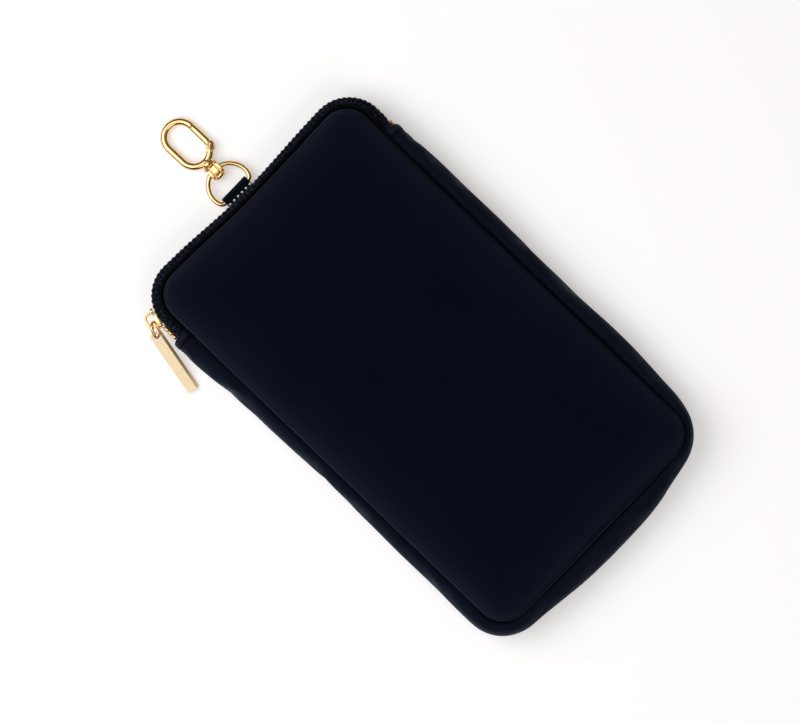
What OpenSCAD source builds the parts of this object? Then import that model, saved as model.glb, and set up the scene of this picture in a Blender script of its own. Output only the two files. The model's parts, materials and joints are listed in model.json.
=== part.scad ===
// Zipped phone pouch that lies on its back, with a swivel clasp at the zip end
// Origin: centre of the flat back, on the surface it lies on
// +Z points out of the front, +Y towards the zip, +X to the right

/* [Panels] */
// Width of each panel from seam to seam
panel_w = 108; // [98:1:120]
// Height of each panel from seam to seam
panel_h = 190; // [170:1:210]
// Radius of the panels' corners
corner_r = 11; // [10:0.5:14]
// Depth from the back seam to the front seam
seam_depth = 16; // [14.5:0.5:22]
// Height of the padded front above its seam
front_crown = 2.8; // [2:0.1:4]
// Depth of the padded back below its seam
back_crown = 2.2; // [1.8:0.1:3]
// Width of the rounded roll inside each seam
roll_w = 9; // [7:0.5:11]
// How far the top edge dips at its middle
top_dip = 1.6; // [0:0.1:2]
// Length over which the dip fades down the panel
dip_reach = 40; // [20:1:60]

/* [Cloth] */
// Thickness of the outer fabric
fabric_t = 1.2; // [0.8:0.1:1.6]
// Thickness of the padding
padding_t = 2.2; // [1:0.1:3]
// Thickness of the lining
lining_t = 0.4; // [0.3:0.1:0.6]
// Width of the tape that binds each seam inside
binding_w = 3; // [2:0.1:4]
// Thickness of the tape that binds each seam inside
binding_t = 1; // [0.6:0.1:1.4]
// Play between sewn layers
layer_gap = 0.1; // [0.05:0.01:0.15]

/* [Gusset] */
// How far the gusset bows out beyond the seams
gusset_bulge = 6.2; // [5.5:0.1:9]
// Height of the folded tab that ends the zip on each side
end_tab_h = 3.8; // [3:0.1:6]
// Distance from the top seam down to the end tabs' upper edge
end_tab_drop = 18.8; // [16:0.1:24]
// How much lower the right end tab lies than the left one
right_tab_lower = 3; // [0:0.1:5]
// How far the end tabs stand proud of the gusset
end_tab_proud = 0.4; // [0.1:0.1:0.8]

/* [Zip] */
// How far the zip bows out beyond the seams
zip_bulge = 5.2; // [4.8:0.1:6]
// How much less it bows at the middle of the top
zip_dip = 0.8; // [0:0.1:1.2]
// Thickness of the zip's tapes
tape_t = 0.8; // [0.5:0.1:1]
// Half the height over which both tapes stand upright
zip_flat = 5; // [4.8:0.1:6]
// Half the gap between the two tapes
zip_slit = 0.7; // [0.65:0.05:0.9]
// Pitch of the teeth along each tape
tooth_pitch = 2.2; // [1.8:0.1:3]
// Length of a tooth along the tape
tooth_l = 1.3; // [1:0.1:1.6]
// Depth of a tooth behind the tape
tooth_d = 1.8; // [1.4:0.1:2]
// Height of a tooth across the tape
tooth_h = 2.3; // [1.8:0.1:2.5]

/* [Slider] */
// Angle of the slider round the left corner, from the side
slider_angle = 16; // [14:1:20]
// Length of the slider
slider_l = 9; // [8:0.1:10]
// Width of the slider across the zip
slider_w = 8.6; // [8.2:0.1:9.4]
// Thickness of the slider's plates
plate_t = 1.1; // [0.8:0.1:1.4]
// Thickness of the wedge between the tapes
wedge_t = 0.8; // [0.6:0.1:0.9]
// Length of the wedge between the tapes
wedge_l = 2.8; // [2:0.1:3.5]
// Length of the bridge that holds the puller
bridge_l = 6.4; // [6:0.1:7]
// Height of the bridge above the plate
bridge_h = 3.9; // [3.7:0.1:4.4]
// Width of the bridge across the slider
bridge_w = 1.2; // [1:0.05:1.25]
// Thickness of the bridge's bar
bridge_t = 1; // [0.8:0.1:1.2]
// Running clearance of the slider on the zip
slider_play = 0.35; // [0.3:0.05:0.4]

/* [Puller] */
// Length of the link between its round ends' centres
link_l = 1.6; // [1.4:0.1:3]
// Radius of the link's round ends, to the middle of the wire
link_r = 2.4; // [2.35:0.05:2.6]
// Diameter of the link's wire
link_wire = 1.2; // [1:0.1:1.3]
// Lean of the link away from upright
link_lean = 26; // [20:1:27]
// Turn of the link outwards from the slider's line
link_turn = 12; // [10:1:16]
// Play of the link in the bridge
link_play = 0.25; // [0.2:0.05:0.3]
// Length of the puller's bar
tag_l = 28; // [24:0.5:34]
// Width of the puller's bar
tag_w = 5; // [4.6:0.1:6]
// Thickness of the puller's bar
tag_t = 1.4; // [1.2:0.1:1.6]
// Turn of the puller's bar inwards from the link's line
tag_turn = 15; // [10:1:17]
// Wall of the puller's bar round the link
tag_eye_wall = 1; // [0.8:0.1:1.2]
// Length of the slot in the puller's bar
tag_slot_l = 2.8; // [2.6:0.1:3.2]
// Width of the slot in the puller's bar
tag_slot_w = 3; // [2.8:0.1:3.2]

/* [Ring tab] */
// Sideways place of the tab, ring and clasp
hook_x = -2; // [-6:0.5:6]
// Width of the webbing tab
tab_w = 12.9; // [9:0.1:13.2]
// Thickness of the webbing
webbing_t = 0.85; // [0.6:0.05:1]
// Distance from the zip band to the middle of the ring's bar
tab_reach = 3.2; // [3:0.1:4.4]
// Number of stitches across the tab
stitch_count = 6; // [4:1:7]
// Length of a stitch
stitch_l = 1.3; // [1:0.1:1.5]
// Thickness of the stitching thread
thread_t = 0.5; // [0.4:0.05:0.6]

/* [D-ring] */
// Diameter of the ring's wire
ring_wire = 2; // [1.8:0.1:2.1]
// Radius of the ring's round top, to the middle of the wire
ring_r = 8.6; // [8.4:0.1:9.4]
// Radius of the ring's lower corners, to the middle of the wire
ring_corner_r = 2.5; // [2.3:0.1:3]
// Height of the ring from bar to top, between wire middles
ring_h = 12.2; // [11.9:0.1:14]
// Play of the ring's bar in the tab
ring_play = 0.25; // [0.2:0.05:0.3]

/* [Swivel] */
// Width of the swivel's eye along the ring's wire
eye_w = 5.9; // [5.5:0.1:6.8]
// Wall of the swivel's eye
eye_wall = 0.8; // [0.7:0.05:1]
// Half height of the hole in the swivel's eye
eye_hole = 2.3; // [2.25:0.05:2.6]
// Depth of the eye's hole below the ring's wire
eye_drop = 3.7; // [2.4:0.1:4]
// Radius of the swivel's rivet
rivet_r = 1.1; // [0.9:0.05:1.2]
// Radius of the rivet's head
rivet_head_r = 1.7; // [1.5:0.05:1.8]
// Thickness of the rivet's head
rivet_head_t = 0.5; // [0.4:0.05:0.8]
// Running clearance of the rivet in the eye
rivet_play = 0.05; // [0.03:0.01:0.08]
// Radius of the collar at the clasp's foot
collar_r = 2.5; // [2.2:0.05:2.7]

/* [Clasp] */
// Length of the clasp outside
clasp_l = 23.4; // [22:0.1:28]
// Width of the clasp outside
clasp_w = 15.6; // [14:0.1:18]
// Diameter of the clasp's bar
clasp_bar = 3.1; // [2.8:0.1:3.4]
// Turn of the clasp seen from the front
clasp_turn = 0.5; // [0:0.5:5]
// Length of the gate from its pin to its tip
gate_l = 10.2; // [9.5:0.1:11]
// Distance from the clasp's foot to the gate's pin
gate_foot = 4.9; // [4.6:0.1:5.4]
// Diameter of the gate's pin
gate_pin_d = 0.9; // [0.7:0.05:1]
// Thickness of the tongue that the gate turns on
tongue_t = 1.1; // [0.9:0.05:1.3]
// Depth of the slot in the gate's tip
nose_l = 1.2; // [1:0.1:1.6]
// Thickness of the nose that the gate's tip closes on
nose_t = 0.8; // [0.6:0.05:0.9]
// Clearance of the gate
gate_play = 0.25; // [0.2:0.05:0.3]
// Diameter of the gate's spring
spring_d = 1.5; // [1.2:0.1:1.6]
// Diameter of the spring's wire
spring_wire = 0.25; // [0.2:0.05:0.3]
// Number of turns of the spring
spring_turns = 5; // [3:1:6]
// Pitch of the spring's turns
spring_pitch = 0.7; // [0.7:0.05:0.8]

/* [Hidden] */
$fn = 48;

navy = "#0b101d";
navy_inside = "#141b2c";
foam_grey = "#5a5f68";
gold = "#d8b468";
steel = "#b8bcc2";
thread_white = "#f2f0ec";

// Overrun of every cut
over = 1;
// Steps of the outline: corners, top, bottom and sides
corner_steps = 6;
top_steps = 8;
bottom_steps = 6;
side_steps = 9;
zip_side_steps = 2;
// Smallest corner radius of the inner rings
core_r = 3;

// Heights of the seams and of the zip's middle
back_z = back_crown;
front_z = back_z + seam_depth;
mid_z = (back_z + front_z) / 2;
// Upper and lower edge of the left and the right end tab
end_tab_y = panel_h / 2 - end_tab_drop;
end_tab_low = end_tab_y - end_tab_h;
right_tab_y = end_tab_y - right_tab_lower;
right_tab_low = end_tab_low - right_tab_lower;

// Rings of the padded panels: shares of the roll, then of half the width
roll_shares = [0, 0.09, 0.29, 0.55, 1];
field_shares = [0.33, 0.63];
ring_depths = concat([for (s = roll_shares) s * roll_w], [for (s = field_shares) s * panel_w / 2]);
// Height of the front and the back at each ring, as shares of their crowns
front_height_shares = [0, 0.38, 0.7, 0.87, 0.95, 0.985, 1];
back_height_shares = [0, 0.5, 0.85, 1, 1, 1, 1];
// Room for the padding at each ring, as shares of its thickness
padding_shares = [0, 0.12, 0.6, 1, 1, 1, 1];
// First ring that the padding reaches
padding_start = 1;

// Section of the gusset: shares of its bulge and of half its depth
bow_shares = [[0, 1], [0.42, 0.98], [0.76, 0.82], [0.95, 0.48], [1, 0],
    [0.95, -0.48], [0.76, -0.82], [0.42, -0.98], [0, -1]];
// Section of a tape: share of the bulge, share of the drop to the upright part,
// share of the tape's thickness by which its inner face lies nearer the middle
tape_shares = [[0, 0, 1], [0.42, 0.26, 0.9], [0.84, 0.7, 0.6], [1, 1, 0.1]];

// How much the gusset bows along its way: left side, bottom and right side
left_bow_shares = [1.22, 0.95, 0.8, 0.8, 0.87, 0.9];
left_corner_bow_share = 0.82;
bottom_bow_shares = [0.71, 1.19, 1.33, 1.26, 0.62];
right_corner_bow_share = 0.48;
right_bow_shares = [0.74, 1.1, 1.03, 1.12, 1.11, 1.1];

function mix(a, b, t) = a + (b - a) * t;
function clamp01(t) = min(1, max(0, t));
function along(list, t) = let (p = t * (len(list) - 1), i = min(floor(p), len(list) - 2))
    mix(list[i], list[i + 1], p - i);

// Outline of the pouch at an offset w from the seams
function round_r(w) = max(corner_r + w, core_r);
function centre_x(w) = panel_w / 2 + w - round_r(w);
function centre_y(w) = panel_h / 2 + w - round_r(w);
function inward(w) = 1 + min(0, w) / (panel_h / 2);
dip_span = panel_w / 2 - corner_r;
function dip_side(x) = abs(x) < dip_span ? (1 + cos(180 * x / dip_span)) / 2 : 0;
function dip(x, y) = top_dip * dip_side(x) * clamp01((y - panel_h / 2 + dip_reach) / dip_reach);
function dipped(x, y) = [x, y - dip(x, y)];
function arc(w, sx, sy, from, to, steps) = [for (i = [0 : steps])
    let (a = mix(from, to, i / steps))
    [sx * centre_x(w) + round_r(w) * cos(a), sy * centre_y(w) + round_r(w) * sin(a)]];
function line(a, b, steps) = [for (i = [1 : steps - 1]) mix(a, b, i / steps)];

// The three parts of the outline, counted anticlockwise from the right end tab
function zip_run(w) = let (x = panel_w / 2 + w, y = end_tab_y * inward(w),
        low = right_tab_y * inward(w),
        right = arc(w, 1, 1, 0, 90, corner_steps), left = arc(w, -1, 1, 90, 180, corner_steps),
        all = concat([[x, low]], line([x, low], [x, centre_y(w)], zip_side_steps), right,
            line(right[corner_steps], left[0], top_steps), left,
            line([-x, centre_y(w)], [-x, y], zip_side_steps), [[-x, y]]))
    [for (p = all) dipped(p[0], p[1])];
function gusset_run(w) = let (x = panel_w / 2 + w, y = end_tab_low * inward(w),
        low = right_tab_low * inward(w),
        left = arc(w, -1, -1, 180, 270, corner_steps), right = arc(w, 1, -1, 270, 360, corner_steps))
    concat([[-x, y]], line([-x, y], left[0], side_steps), left,
        line(left[corner_steps], right[0], bottom_steps), right,
        line(right[corner_steps], [x, low], side_steps), [[x, low]]);
function outline(w) = concat(zip_run(w), gusset_run(w));
zip_count = len(zip_run(0));
gusset_count = len(gusset_run(0));

// How far the gusset bows at each of its stations
left_end = side_steps;
left_turn = left_end + corner_steps;
right_turn = left_turn + bottom_steps;
right_end = right_turn + corner_steps;
function corner_bow(t, a, b, c) = t < 0.5 ? mix(a, b, 2 * t) : mix(b, c, 2 * t - 1);
function bow_share(i) =
    i <= left_end ? along(left_bow_shares, i / left_end)
    : i <= left_turn ? corner_bow((i - left_end) / corner_steps,
        left_bow_shares[len(left_bow_shares) - 1], left_corner_bow_share, bottom_bow_shares[0])
    : i <= right_turn ? along(bottom_bow_shares, (i - left_turn) / bottom_steps)
    : i <= right_end ? corner_bow((i - right_turn) / corner_steps,
        bottom_bow_shares[len(bottom_bow_shares) - 1], right_corner_bow_share, right_bow_shares[0])
    : along(right_bow_shares, (i - right_end) / side_steps);

// Faces of a surface patch of rows of n points, seen from its outer side
function patch(rows, n, start, flip, ring) = [for (i = [0 : rows - 2], j = [0 : (ring ? n - 1 : n - 2)])
    let (k = (j + 1) % n, a = start + i * n + j, b = start + i * n + k,
        c = start + (i + 1) * n + k, d = start + (i + 1) * n + j)
    each flip ? [[a, c, b], [a, d, c]] : [[a, b, c], [a, c, d]]];

// A bent sheet between two grids of points, each a list of rows
module sheet(outer, inner) {
    rows = len(outer);
    n = len(outer[0]);
    size = rows * n;
    edges = [for (i = [0 : rows - 2])
        let (a = i * n, b = (i + 1) * n, c = a + n - 1, d = b + n - 1)
        each [[a, b + size, b], [a, a + size, b + size], [c, d, d + size], [c, d + size, c + size]]];
    ends = [for (j = [0 : n - 2])
        let (a = j, b = (rows - 1) * n + j)
        each [[a, a + size + 1, a + size], [a, a + 1, a + size + 1],
            [b, b + size + 1, b + 1], [b, b + size, b + size + 1]]];
    polyhedron(points = [for (row = outer) each row, for (row = inner) each row],
        faces = concat(patch(rows, n, 0, true, false), patch(rows, n, size, false, false), edges, ends),
        convexity = 6);
}

// A padded layer between an upper and a lower stack of rings, rim first
module layer(upper, lower) {
    rows = len(upper);
    n = len(upper[0]);
    size = rows * n;
    top_centre = 2 * size;
    low_centre = 2 * size + 1;
    function middle(ring) = [0, 0, ring[n - 1][2]];
    caps = [for (j = [0 : n - 1])
        let (k = (j + 1) % n, a = size - n + j, b = size - n + k)
        each [[a, top_centre, b], [a + size, b + size, low_centre]]];
    rim = [for (j = [0 : n - 1]) let (k = (j + 1) % n) each [[j, k, k + size], [j, k + size, j + size]]];
    polyhedron(points = concat([for (row = upper) each row], [for (row = lower) each row],
            [middle(upper[rows - 1]), middle(lower[rows - 1])]),
        faces = concat(patch(rows, n, 0, true, true), patch(rows, n, size, false, true), caps, rim),
        convexity = 6);
}

function level(points, z) = [for (p = points) [p[0], p[1], z]];
function rings(first, heights) = [for (i = [first : len(ring_depths) - 1])
    level(outline(-ring_depths[i]), heights[i])];
// Distance from the outer face down to the top of each layer of a panel
function below(i, fabric, padding, gaps) = fabric * fabric_t + padding * padding_t * padding_shares[i]
    + gaps * layer_gap;
function front_rings(first, fabric, padding, gaps, lining) = rings(first, [
    for (i = [0 : len(ring_depths) - 1])
    front_z + front_crown * front_height_shares[i] - below(i, fabric, padding, gaps) - lining * lining_t]);
function back_rings(first, fabric, padding, gaps, lining) = rings(first, [
    for (i = [0 : len(ring_depths) - 1])
    back_z - back_crown * back_height_shares[i] + below(i, fabric, padding, gaps) + lining * lining_t]);

module front_panel() {
    color(navy) layer(front_rings(0, 0, 0, 0, 0), front_rings(0, 1, 0, 0, 0));
}

module front_padding() {
    color(foam_grey) layer(front_rings(padding_start, 1, 0, 1, 0), front_rings(padding_start, 1, 1, 1, 0));
}

module front_lining() {
    color(navy_inside) layer(front_rings(0, 1, 1, 2, 0), front_rings(0, 1, 1, 2, 1));
}

module back_panel() {
    color(navy) layer(back_rings(0, 1, 0, 0, 0), back_rings(0, 0, 0, 0, 0));
}

module back_padding() {
    color(foam_grey) layer(back_rings(padding_start, 1, 1, 1, 0), back_rings(padding_start, 1, 0, 1, 0));
}

module back_lining() {
    color(navy_inside) layer(back_rings(0, 1, 1, 2, 1), back_rings(0, 1, 1, 2, 0));
}

// One cross row of the gusset at station i: inset moves it in from the outer face
function bow_row(points_in, i, bulge, inset) = [for (s = bow_shares)
    let (w = s[0] * (bulge - inset), p = points_in(w)[i])
    [p[0], p[1], mid_z + s[1] * (seam_depth / 2 - inset)]];
function gusset_rows(inset) = [for (i = [0 : gusset_count - 1])
    bow_row(function (w) gusset_run(w), i, gusset_bulge * bow_share(i), inset)];

module gusset() {
    color(navy) sheet(gusset_rows(0), gusset_rows(fabric_t));
}

module gusset_lining() {
    inset = fabric_t + layer_gap;
    color(navy_inside) sheet(gusset_rows(inset), gusset_rows(inset + lining_t));
}

// A folded tab across the end of the zip: side is -1 on the left, 1 on the right
function tab_run(side, w) = [for (y = side < 0 ? [end_tab_y, end_tab_low] : [right_tab_low, right_tab_y])
    [side * (panel_w / 2 + w), y]];
module end_tab(side) {
    bulge = end_tab_proud + gusset_bulge * bow_share(side < 0 ? 0 : gusset_count - 1);
    function rows(inset) = [for (i = [0, 1]) bow_row(function (w) tab_run(side, w), i, bulge, inset)];
    color(navy) sheet(rows(0), rows(fabric_t));
}

module end_tab_left() {
    end_tab(-1);
}

module end_tab_right() {
    end_tab(1);
}

// Tape that binds the seam inside, with its middle at height z
module binding(z) {
    start = fabric_t + lining_t;
    outer = outline(-start);
    inner = outline(-start - binding_w);
    n = len(outer);
    rows = [level(outer, z + binding_t / 2), level(inner, z + binding_t / 2),
        level(inner, z - binding_t / 2), level(outer, z - binding_t / 2)];
    faces = [for (i = [0 : 3], j = [0 : n - 1])
        let (k = (j + 1) % n, m = (i + 1) % 4)
        each [[i * n + j, m * n + j, m * n + k], [i * n + j, m * n + k, i * n + k]]];
    polyhedron(points = [for (row = rows) each row], faces = faces, convexity = 4);
}

// Height of the lining's inner face where the binding lies
binding_drop = fabric_t + padding_t + lining_t + 3 * layer_gap + binding_t / 2;

module front_binding() {
    color(navy_inside) binding(front_z + front_crown * front_height_shares[2] - binding_drop);
}

module back_binding() {
    color(navy_inside) binding(back_z - back_crown * back_height_shares[2] + binding_drop);
}

// How far the zip bows out at sideways place x
function zip_bow(x) = zip_bulge - zip_dip * dip_side(x);
// Rows of one tape: side is 1 for the front tape, -1 for the back one
function tape_rows(side, inner) = [for (i = [0 : zip_count - 1])
    let (bulge = zip_bow(zip_run(0)[i][0]) - (inner ? tape_t : 0), drop = seam_depth / 2 - zip_flat)
    [for (s = tape_shares)
        let (p = zip_run(s[0] * bulge)[i])
        [p[0], p[1], mid_z + side * (seam_depth / 2 - s[1] * drop - (inner ? s[2] * tape_t : 0))],
        let (p = zip_run(bulge)[i]) [p[0], p[1], mid_z + side * zip_slit]]];

module zip_tape_front() {
    color(navy) sheet(tape_rows(1, false), tape_rows(1, true));
}

module zip_tape_back() {
    color(navy) mirrored_sheet(tape_rows(-1, false), tape_rows(-1, true));
}

// A sheet whose rows run the other way round
module mirrored_sheet(outer, inner) {
    function turned(grid) = [for (row = grid) [for (j = [len(row) - 1 : -1 : 0]) row[j]]];
    sheet(turned(outer), turned(inner));
}

// Radius of the tapes' inner faces about a corner's centre, at the middle of a facet
tape_inner_r = (corner_r + zip_bulge - tape_t) * cos(45 / corner_steps);
// Line of the teeth: offset from the seam and the lengths of its straight and round parts
tooth_w = tape_inner_r - corner_r - layer_gap - tooth_d / 2;
zip_side_l = panel_h / 2 - corner_r - end_tab_y - tooth_l;
zip_arc_l = PI / 2 * (corner_r + tooth_w);
zip_top_l = panel_w - 2 * corner_r;
teeth_l = 2 * zip_side_l + right_tab_lower + 2 * zip_arc_l + zip_top_l;
tooth_count = floor(teeth_l / tooth_pitch);
tooth_start = (teeth_l - tooth_count * tooth_pitch) / 2;

// Carries its children to length s along the line of the teeth, from the left end:
// there +X points outwards and the origin is at the zip's middle
module at_zip(s) {
    up = s - zip_side_l;
    flat = up - zip_arc_l;
    down = flat - zip_top_l;
    side = down - zip_arc_l;
    right = panel_w / 2 - corner_r;
    top = panel_h / 2 - corner_r;
    radius = corner_r + tooth_w;
    if (up < 0)
        translate([-right - radius, top + up, mid_z]) rotate([0, 0, 180]) children();
    else if (flat < 0)
        translate([-right, top, mid_z]) rotate([0, 0, 180 - 90 * up / zip_arc_l])
            translate([radius, 0, 0]) children();
    else if (down < 0)
        let (x = flat - right)
        translate([x, top + radius - (top_dip + zip_dip) * dip_side(x), mid_z])
            rotate([0, 0, 90]) children();
    else if (side < 0)
        translate([right, top, mid_z]) rotate([0, 0, 90 - 90 * down / zip_arc_l])
            translate([radius, 0, 0]) children();
    else
        translate([right + radius, top - side, mid_z]) children();
}

// One tooth: a round head towards the zip's middle on a leg clamped to the tape
module tooth(side) {
    head_r = tooth_l / 2;
    inner = zip_slit + layer_gap;
    mirror([0, 0, side < 0 ? 1 : 0]) {
        translate([-tooth_d / 2, 0, inner + head_r]) rotate([0, 90, 0])
            cylinder(r = head_r, h = tooth_d, $fn = 16);
        translate([-tooth_d / 2, -tooth_l / 4, inner + head_r])
            cube([tooth_d, tooth_l / 2, tooth_h - head_r]);
    }
}

// Both rows have the same pitch, and the back row lies half a pitch further on
tooth_shift_shares = [0.25, 0.75];
module tooth_row(side) {
    shift = tooth_shift_shares[side > 0 ? 0 : 1];
    for (i = [0 : tooth_count - 1])
        at_zip(tooth_start + (i + shift) * tooth_pitch) tooth(side);
}

module zip_teeth_front() {
    color(gold) tooth_row(1);
}

module zip_teeth_back() {
    color(gold) tooth_row(-1);
}

// Metal stops past the last teeth: two halves on the left, one block on the right
stop_share = 0.8;
stop_l = stop_share * tooth_l;

module zip_stop_left() {
    low = zip_slit + layer_gap;
    color(gold) for (side = [0, 1])
        translate([-panel_w / 2 - tooth_w, end_tab_y + layer_gap + stop_l / 2, mid_z])
            mirror([0, 0, side]) translate([-tooth_d / 2, -stop_l / 2, low]) cube([tooth_d, stop_l, tooth_h]);
}

module zip_stop_right() {
    high = zip_slit + layer_gap + tooth_h;
    color(gold) translate([panel_w / 2 + tooth_w - tooth_d / 2, right_tab_y + layer_gap, mid_z - high])
        cube([tooth_d, stop_l, 2 * high]);
}

// Radii about the left corner's centre that the slider has to clear
tape_outer_r = corner_r + zip_bulge;
teeth_inner_r = corner_r + tooth_w - tooth_d / 2;
plate_outer_x = tape_outer_r + slider_play;
plate_inner_x = sqrt(pow(teeth_inner_r - slider_play, 2) - pow(slider_l / 2, 2));
teeth_top = zip_slit + layer_gap + tooth_h;
flange_t = slider_w / 2 - teeth_top - slider_play;

// Frame of the slider: +X outwards, +Y towards the left end of the zip
module slider_frame() {
    translate([corner_r - panel_w / 2, panel_h / 2 - corner_r, mid_z])
        rotate([0, 0, 180 - slider_angle]) children();
}

// Outline of a slider plate: rounded, and narrower at the tail
plate_tail_share = 0.74;
plate_round_share = 0.2;
module plate(x) {
    r = plate_round_share * slider_w;
    tail = plate_tail_share * slider_w / 2;
    translate([x, 0, 0]) rotate([0, 90, 0]) linear_extrude(plate_t) union() {
        polygon([[slider_w / 2, slider_l / 2 - r], [slider_w / 2 - r, slider_l / 2],
            [r - slider_w / 2, slider_l / 2], [-slider_w / 2, slider_l / 2 - r],
            [-slider_w / 2, 0], [-tail, r - slider_l / 2], [r - tail, -slider_l / 2],
            [tail - r, -slider_l / 2], [tail, r - slider_l / 2], [slider_w / 2, 0]]);
        for (side = [-1, 1]) {
            translate([side * (slider_w / 2 - r), slider_l / 2 - r]) circle(r);
            translate([side * (tail - r), r - slider_l / 2]) circle(r);
        }
    }
}

module zip_slider() {
    wedge_y = slider_l / 2 - wedge_l / 2 - plate_round_share * slider_w / 2;
    flange_d = tape_inner_r - slider_play - plate_inner_x + plate_t - flange_t;
    color(gold) slider_frame() {
        plate(plate_outer_x);
        plate(plate_inner_x - plate_t);
        translate([plate_inner_x - plate_t / 2, wedge_y - wedge_l / 2, -wedge_t / 2])
            cube([plate_outer_x - plate_inner_x + plate_t, wedge_l, wedge_t]);
        for (side = [0, 1]) mirror([0, 0, side])
            translate([plate_inner_x - plate_t, 0, slider_w / 2 - flange_t])
                cube([flange_d, slider_l / 2 - flange_t, flange_t]);
    }
}

// Bridge on the outer plate, a bent bar with round shoulders
bridge_foot_x = plate_outer_x + plate_t;
bridge_round_share = 0.42;
module slider_bridge() {
    r = bridge_round_share * bridge_h;
    inner_r = r - bridge_t / 2;
    module bail(l, h, r) {
        square([h - r, l]);
        translate([0, r]) square([h, l - 2 * r]);
        translate([h - r, r]) circle(r);
        translate([h - r, l - r]) circle(r);
    }
    color(gold) slider_frame() translate([bridge_foot_x, -bridge_l / 2, -bridge_w / 2])
        linear_extrude(bridge_w) difference() {
            bail(bridge_l, bridge_h, r);
            translate([-over, bridge_t]) bail(bridge_l - 2 * bridge_t, bridge_h - bridge_t + over, inner_r);
        }
}

// The link and the bar lie in one plane that slopes down until the bar's far end
// rests on the surface
tag_back = tag_eye_wall + tag_slot_l / 2;
link_reach = link_l + 2 * link_r;
puller_reach = link_reach + (tag_l - tag_back) * cos(tag_turn) + tag_w / 2 * sin(tag_turn);
puller_slope = asin((mid_z - tag_t / 2) / puller_reach);

// Frame of the puller: origin at the wire in the bridge's hole, +Y along the link
link_pivot = [bridge_foot_x + (bridge_h - bridge_t) / 2,
    bridge_l / 2 - bridge_t - link_wire - link_play, 0];
module puller_frame() {
    slider_frame() translate(link_pivot) rotate([0, 0, -link_turn]) rotate([-puller_slope, 0, 0]) children();
}

// The link: a wire loop that stands across the plane and leans outwards
module puller_link() {
    color(gold) puller_frame() rotate([0, link_lean, 0]) translate([0, link_r, 0]) rotate([0, 90, 0]) {
        for (end = [0, 1])
            translate([0, end * link_l, 0]) rotate([0, 0, end * 180 + 180])
                rotate_extrude(angle = 180) translate([link_r, 0]) circle(d = link_wire, $fn = 24);
        for (side = [-1, 1])
            translate([side * link_r, 0, 0]) rotate([-90, 0, 0])
                cylinder(d = link_wire, h = link_l, $fn = 24);
    }
}

// The puller's bar, with the link's far end in its slot
tag_round_share = 0.16;
module puller_tag() {
    r = tag_round_share * tag_w;
    color(gold) puller_frame() translate([0, link_reach, 0]) rotate([0, 0, tag_turn])
        translate([0, -tag_back, -tag_t / 2]) linear_extrude(tag_t) difference() {
            union() {
                translate([-tag_w / 2, r]) square([tag_w, tag_l - 2 * r]);
                translate([r - tag_w / 2, 0]) square([tag_w - 2 * r, tag_l]);
                for (x = [-1, 1], y = [r, tag_l - r])
                    translate([x * (tag_w / 2 - r), y]) circle(r);
            }
            translate([-tag_slot_w / 2, tag_eye_wall]) square([tag_slot_w, tag_slot_l]);
        }
}

// The webbing tab: a strip folded round the ring's bar and sewn to the back tape
seam_y = panel_h / 2 - dip(hook_x, panel_h / 2);
band_y = seam_y + zip_bow(hook_x);
bar_y = band_y + tab_reach;
loop_r = ring_wire / 2 + ring_play + webbing_t;
bar_z = eye_hole + eye_wall + layer_gap;
leg_t = webbing_t + layer_gap / 2;
stitch_y = bar_y - loop_r - layer_gap - thread_t / 2;
// Feet of the tab's two legs inside the band's outer edge, as shares of the zip's bulge
upper_foot_share = 0.13;
lower_foot_share = 0.45;
stitch_span_share = 0.93;

module ring_tab() {
    foot_upper = band_y - upper_foot_share * zip_bulge;
    foot_lower = band_y - lower_foot_share * zip_bulge;
    color(navy) translate([hook_x - tab_w / 2, 0, 0]) rotate([90, 0, 90]) linear_extrude(tab_w) difference() {
        union() {
            translate([bar_y, bar_z]) circle(loop_r);
            polygon([[foot_lower, bar_z - leg_t], [bar_y - loop_r / 2, bar_z - leg_t],
                [bar_y - loop_r / 2, bar_z + leg_t], [foot_upper, bar_z + leg_t]]);
        }
        translate([bar_y, bar_z]) circle(loop_r - webbing_t);
        translate([foot_lower - over, bar_z - layer_gap / 2]) square([bar_y - foot_lower + over, layer_gap]);
    }
}

module ring_tab_stitches() {
    pitch = stitch_span_share * tab_w / stitch_count;
    color(thread_white) for (i = [0 : stitch_count - 1])
        translate([hook_x + (i - (stitch_count - 1) / 2) * pitch, stitch_y, bar_z + leg_t])
            translate([-stitch_l / 2, -thread_t / 2, 0]) cube([stitch_l, thread_t, thread_t / 2]);
}

// The ring: a round top, short sides, round corners and a straight bar
module d_ring() {
    side_y = ring_h - ring_r;
    bar_half = ring_r - ring_corner_r;
    color(gold) translate([hook_x, bar_y, bar_z]) {
        translate([0, side_y, 0]) rotate_extrude(angle = 180) translate([ring_r, 0]) circle(d = ring_wire);
        for (side = [0, 1]) mirror([side, 0, 0]) {
            translate([ring_r, ring_corner_r, 0]) rotate([-90, 0, 0])
                cylinder(d = ring_wire, h = side_y - ring_corner_r);
            translate([bar_half, ring_corner_r, 0]) rotate([0, 0, -90])
                rotate_extrude(angle = 90) translate([ring_corner_r, 0]) circle(d = ring_wire);
        }
        translate([-bar_half, 0, 0]) rotate([0, 90, 0]) cylinder(d = ring_wire, h = 2 * bar_half);
    }
}

// Frame of the swivel and the clasp: origin in the ring's wire, +Y out along the clasp,
// tipped down until the clasp's far end lies on the surface
head_y = ring_wire / 2 + ring_play + rivet_head_t;
eye_top = head_y + rivet_play + eye_wall;
// Thickness of the collar at the clasp's foot
collar_t = 0.5;
foot_y = eye_top + rivet_play + collar_t;
clasp_tip = asin((bar_z - clasp_bar / 2) / (foot_y + clasp_l - clasp_bar / 2));
module hook_frame() {
    translate([hook_x, bar_y + ring_h, bar_z]) rotate([0, 0, clasp_turn])
        rotate([-clasp_tip, 0, 0]) children();
}

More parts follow.
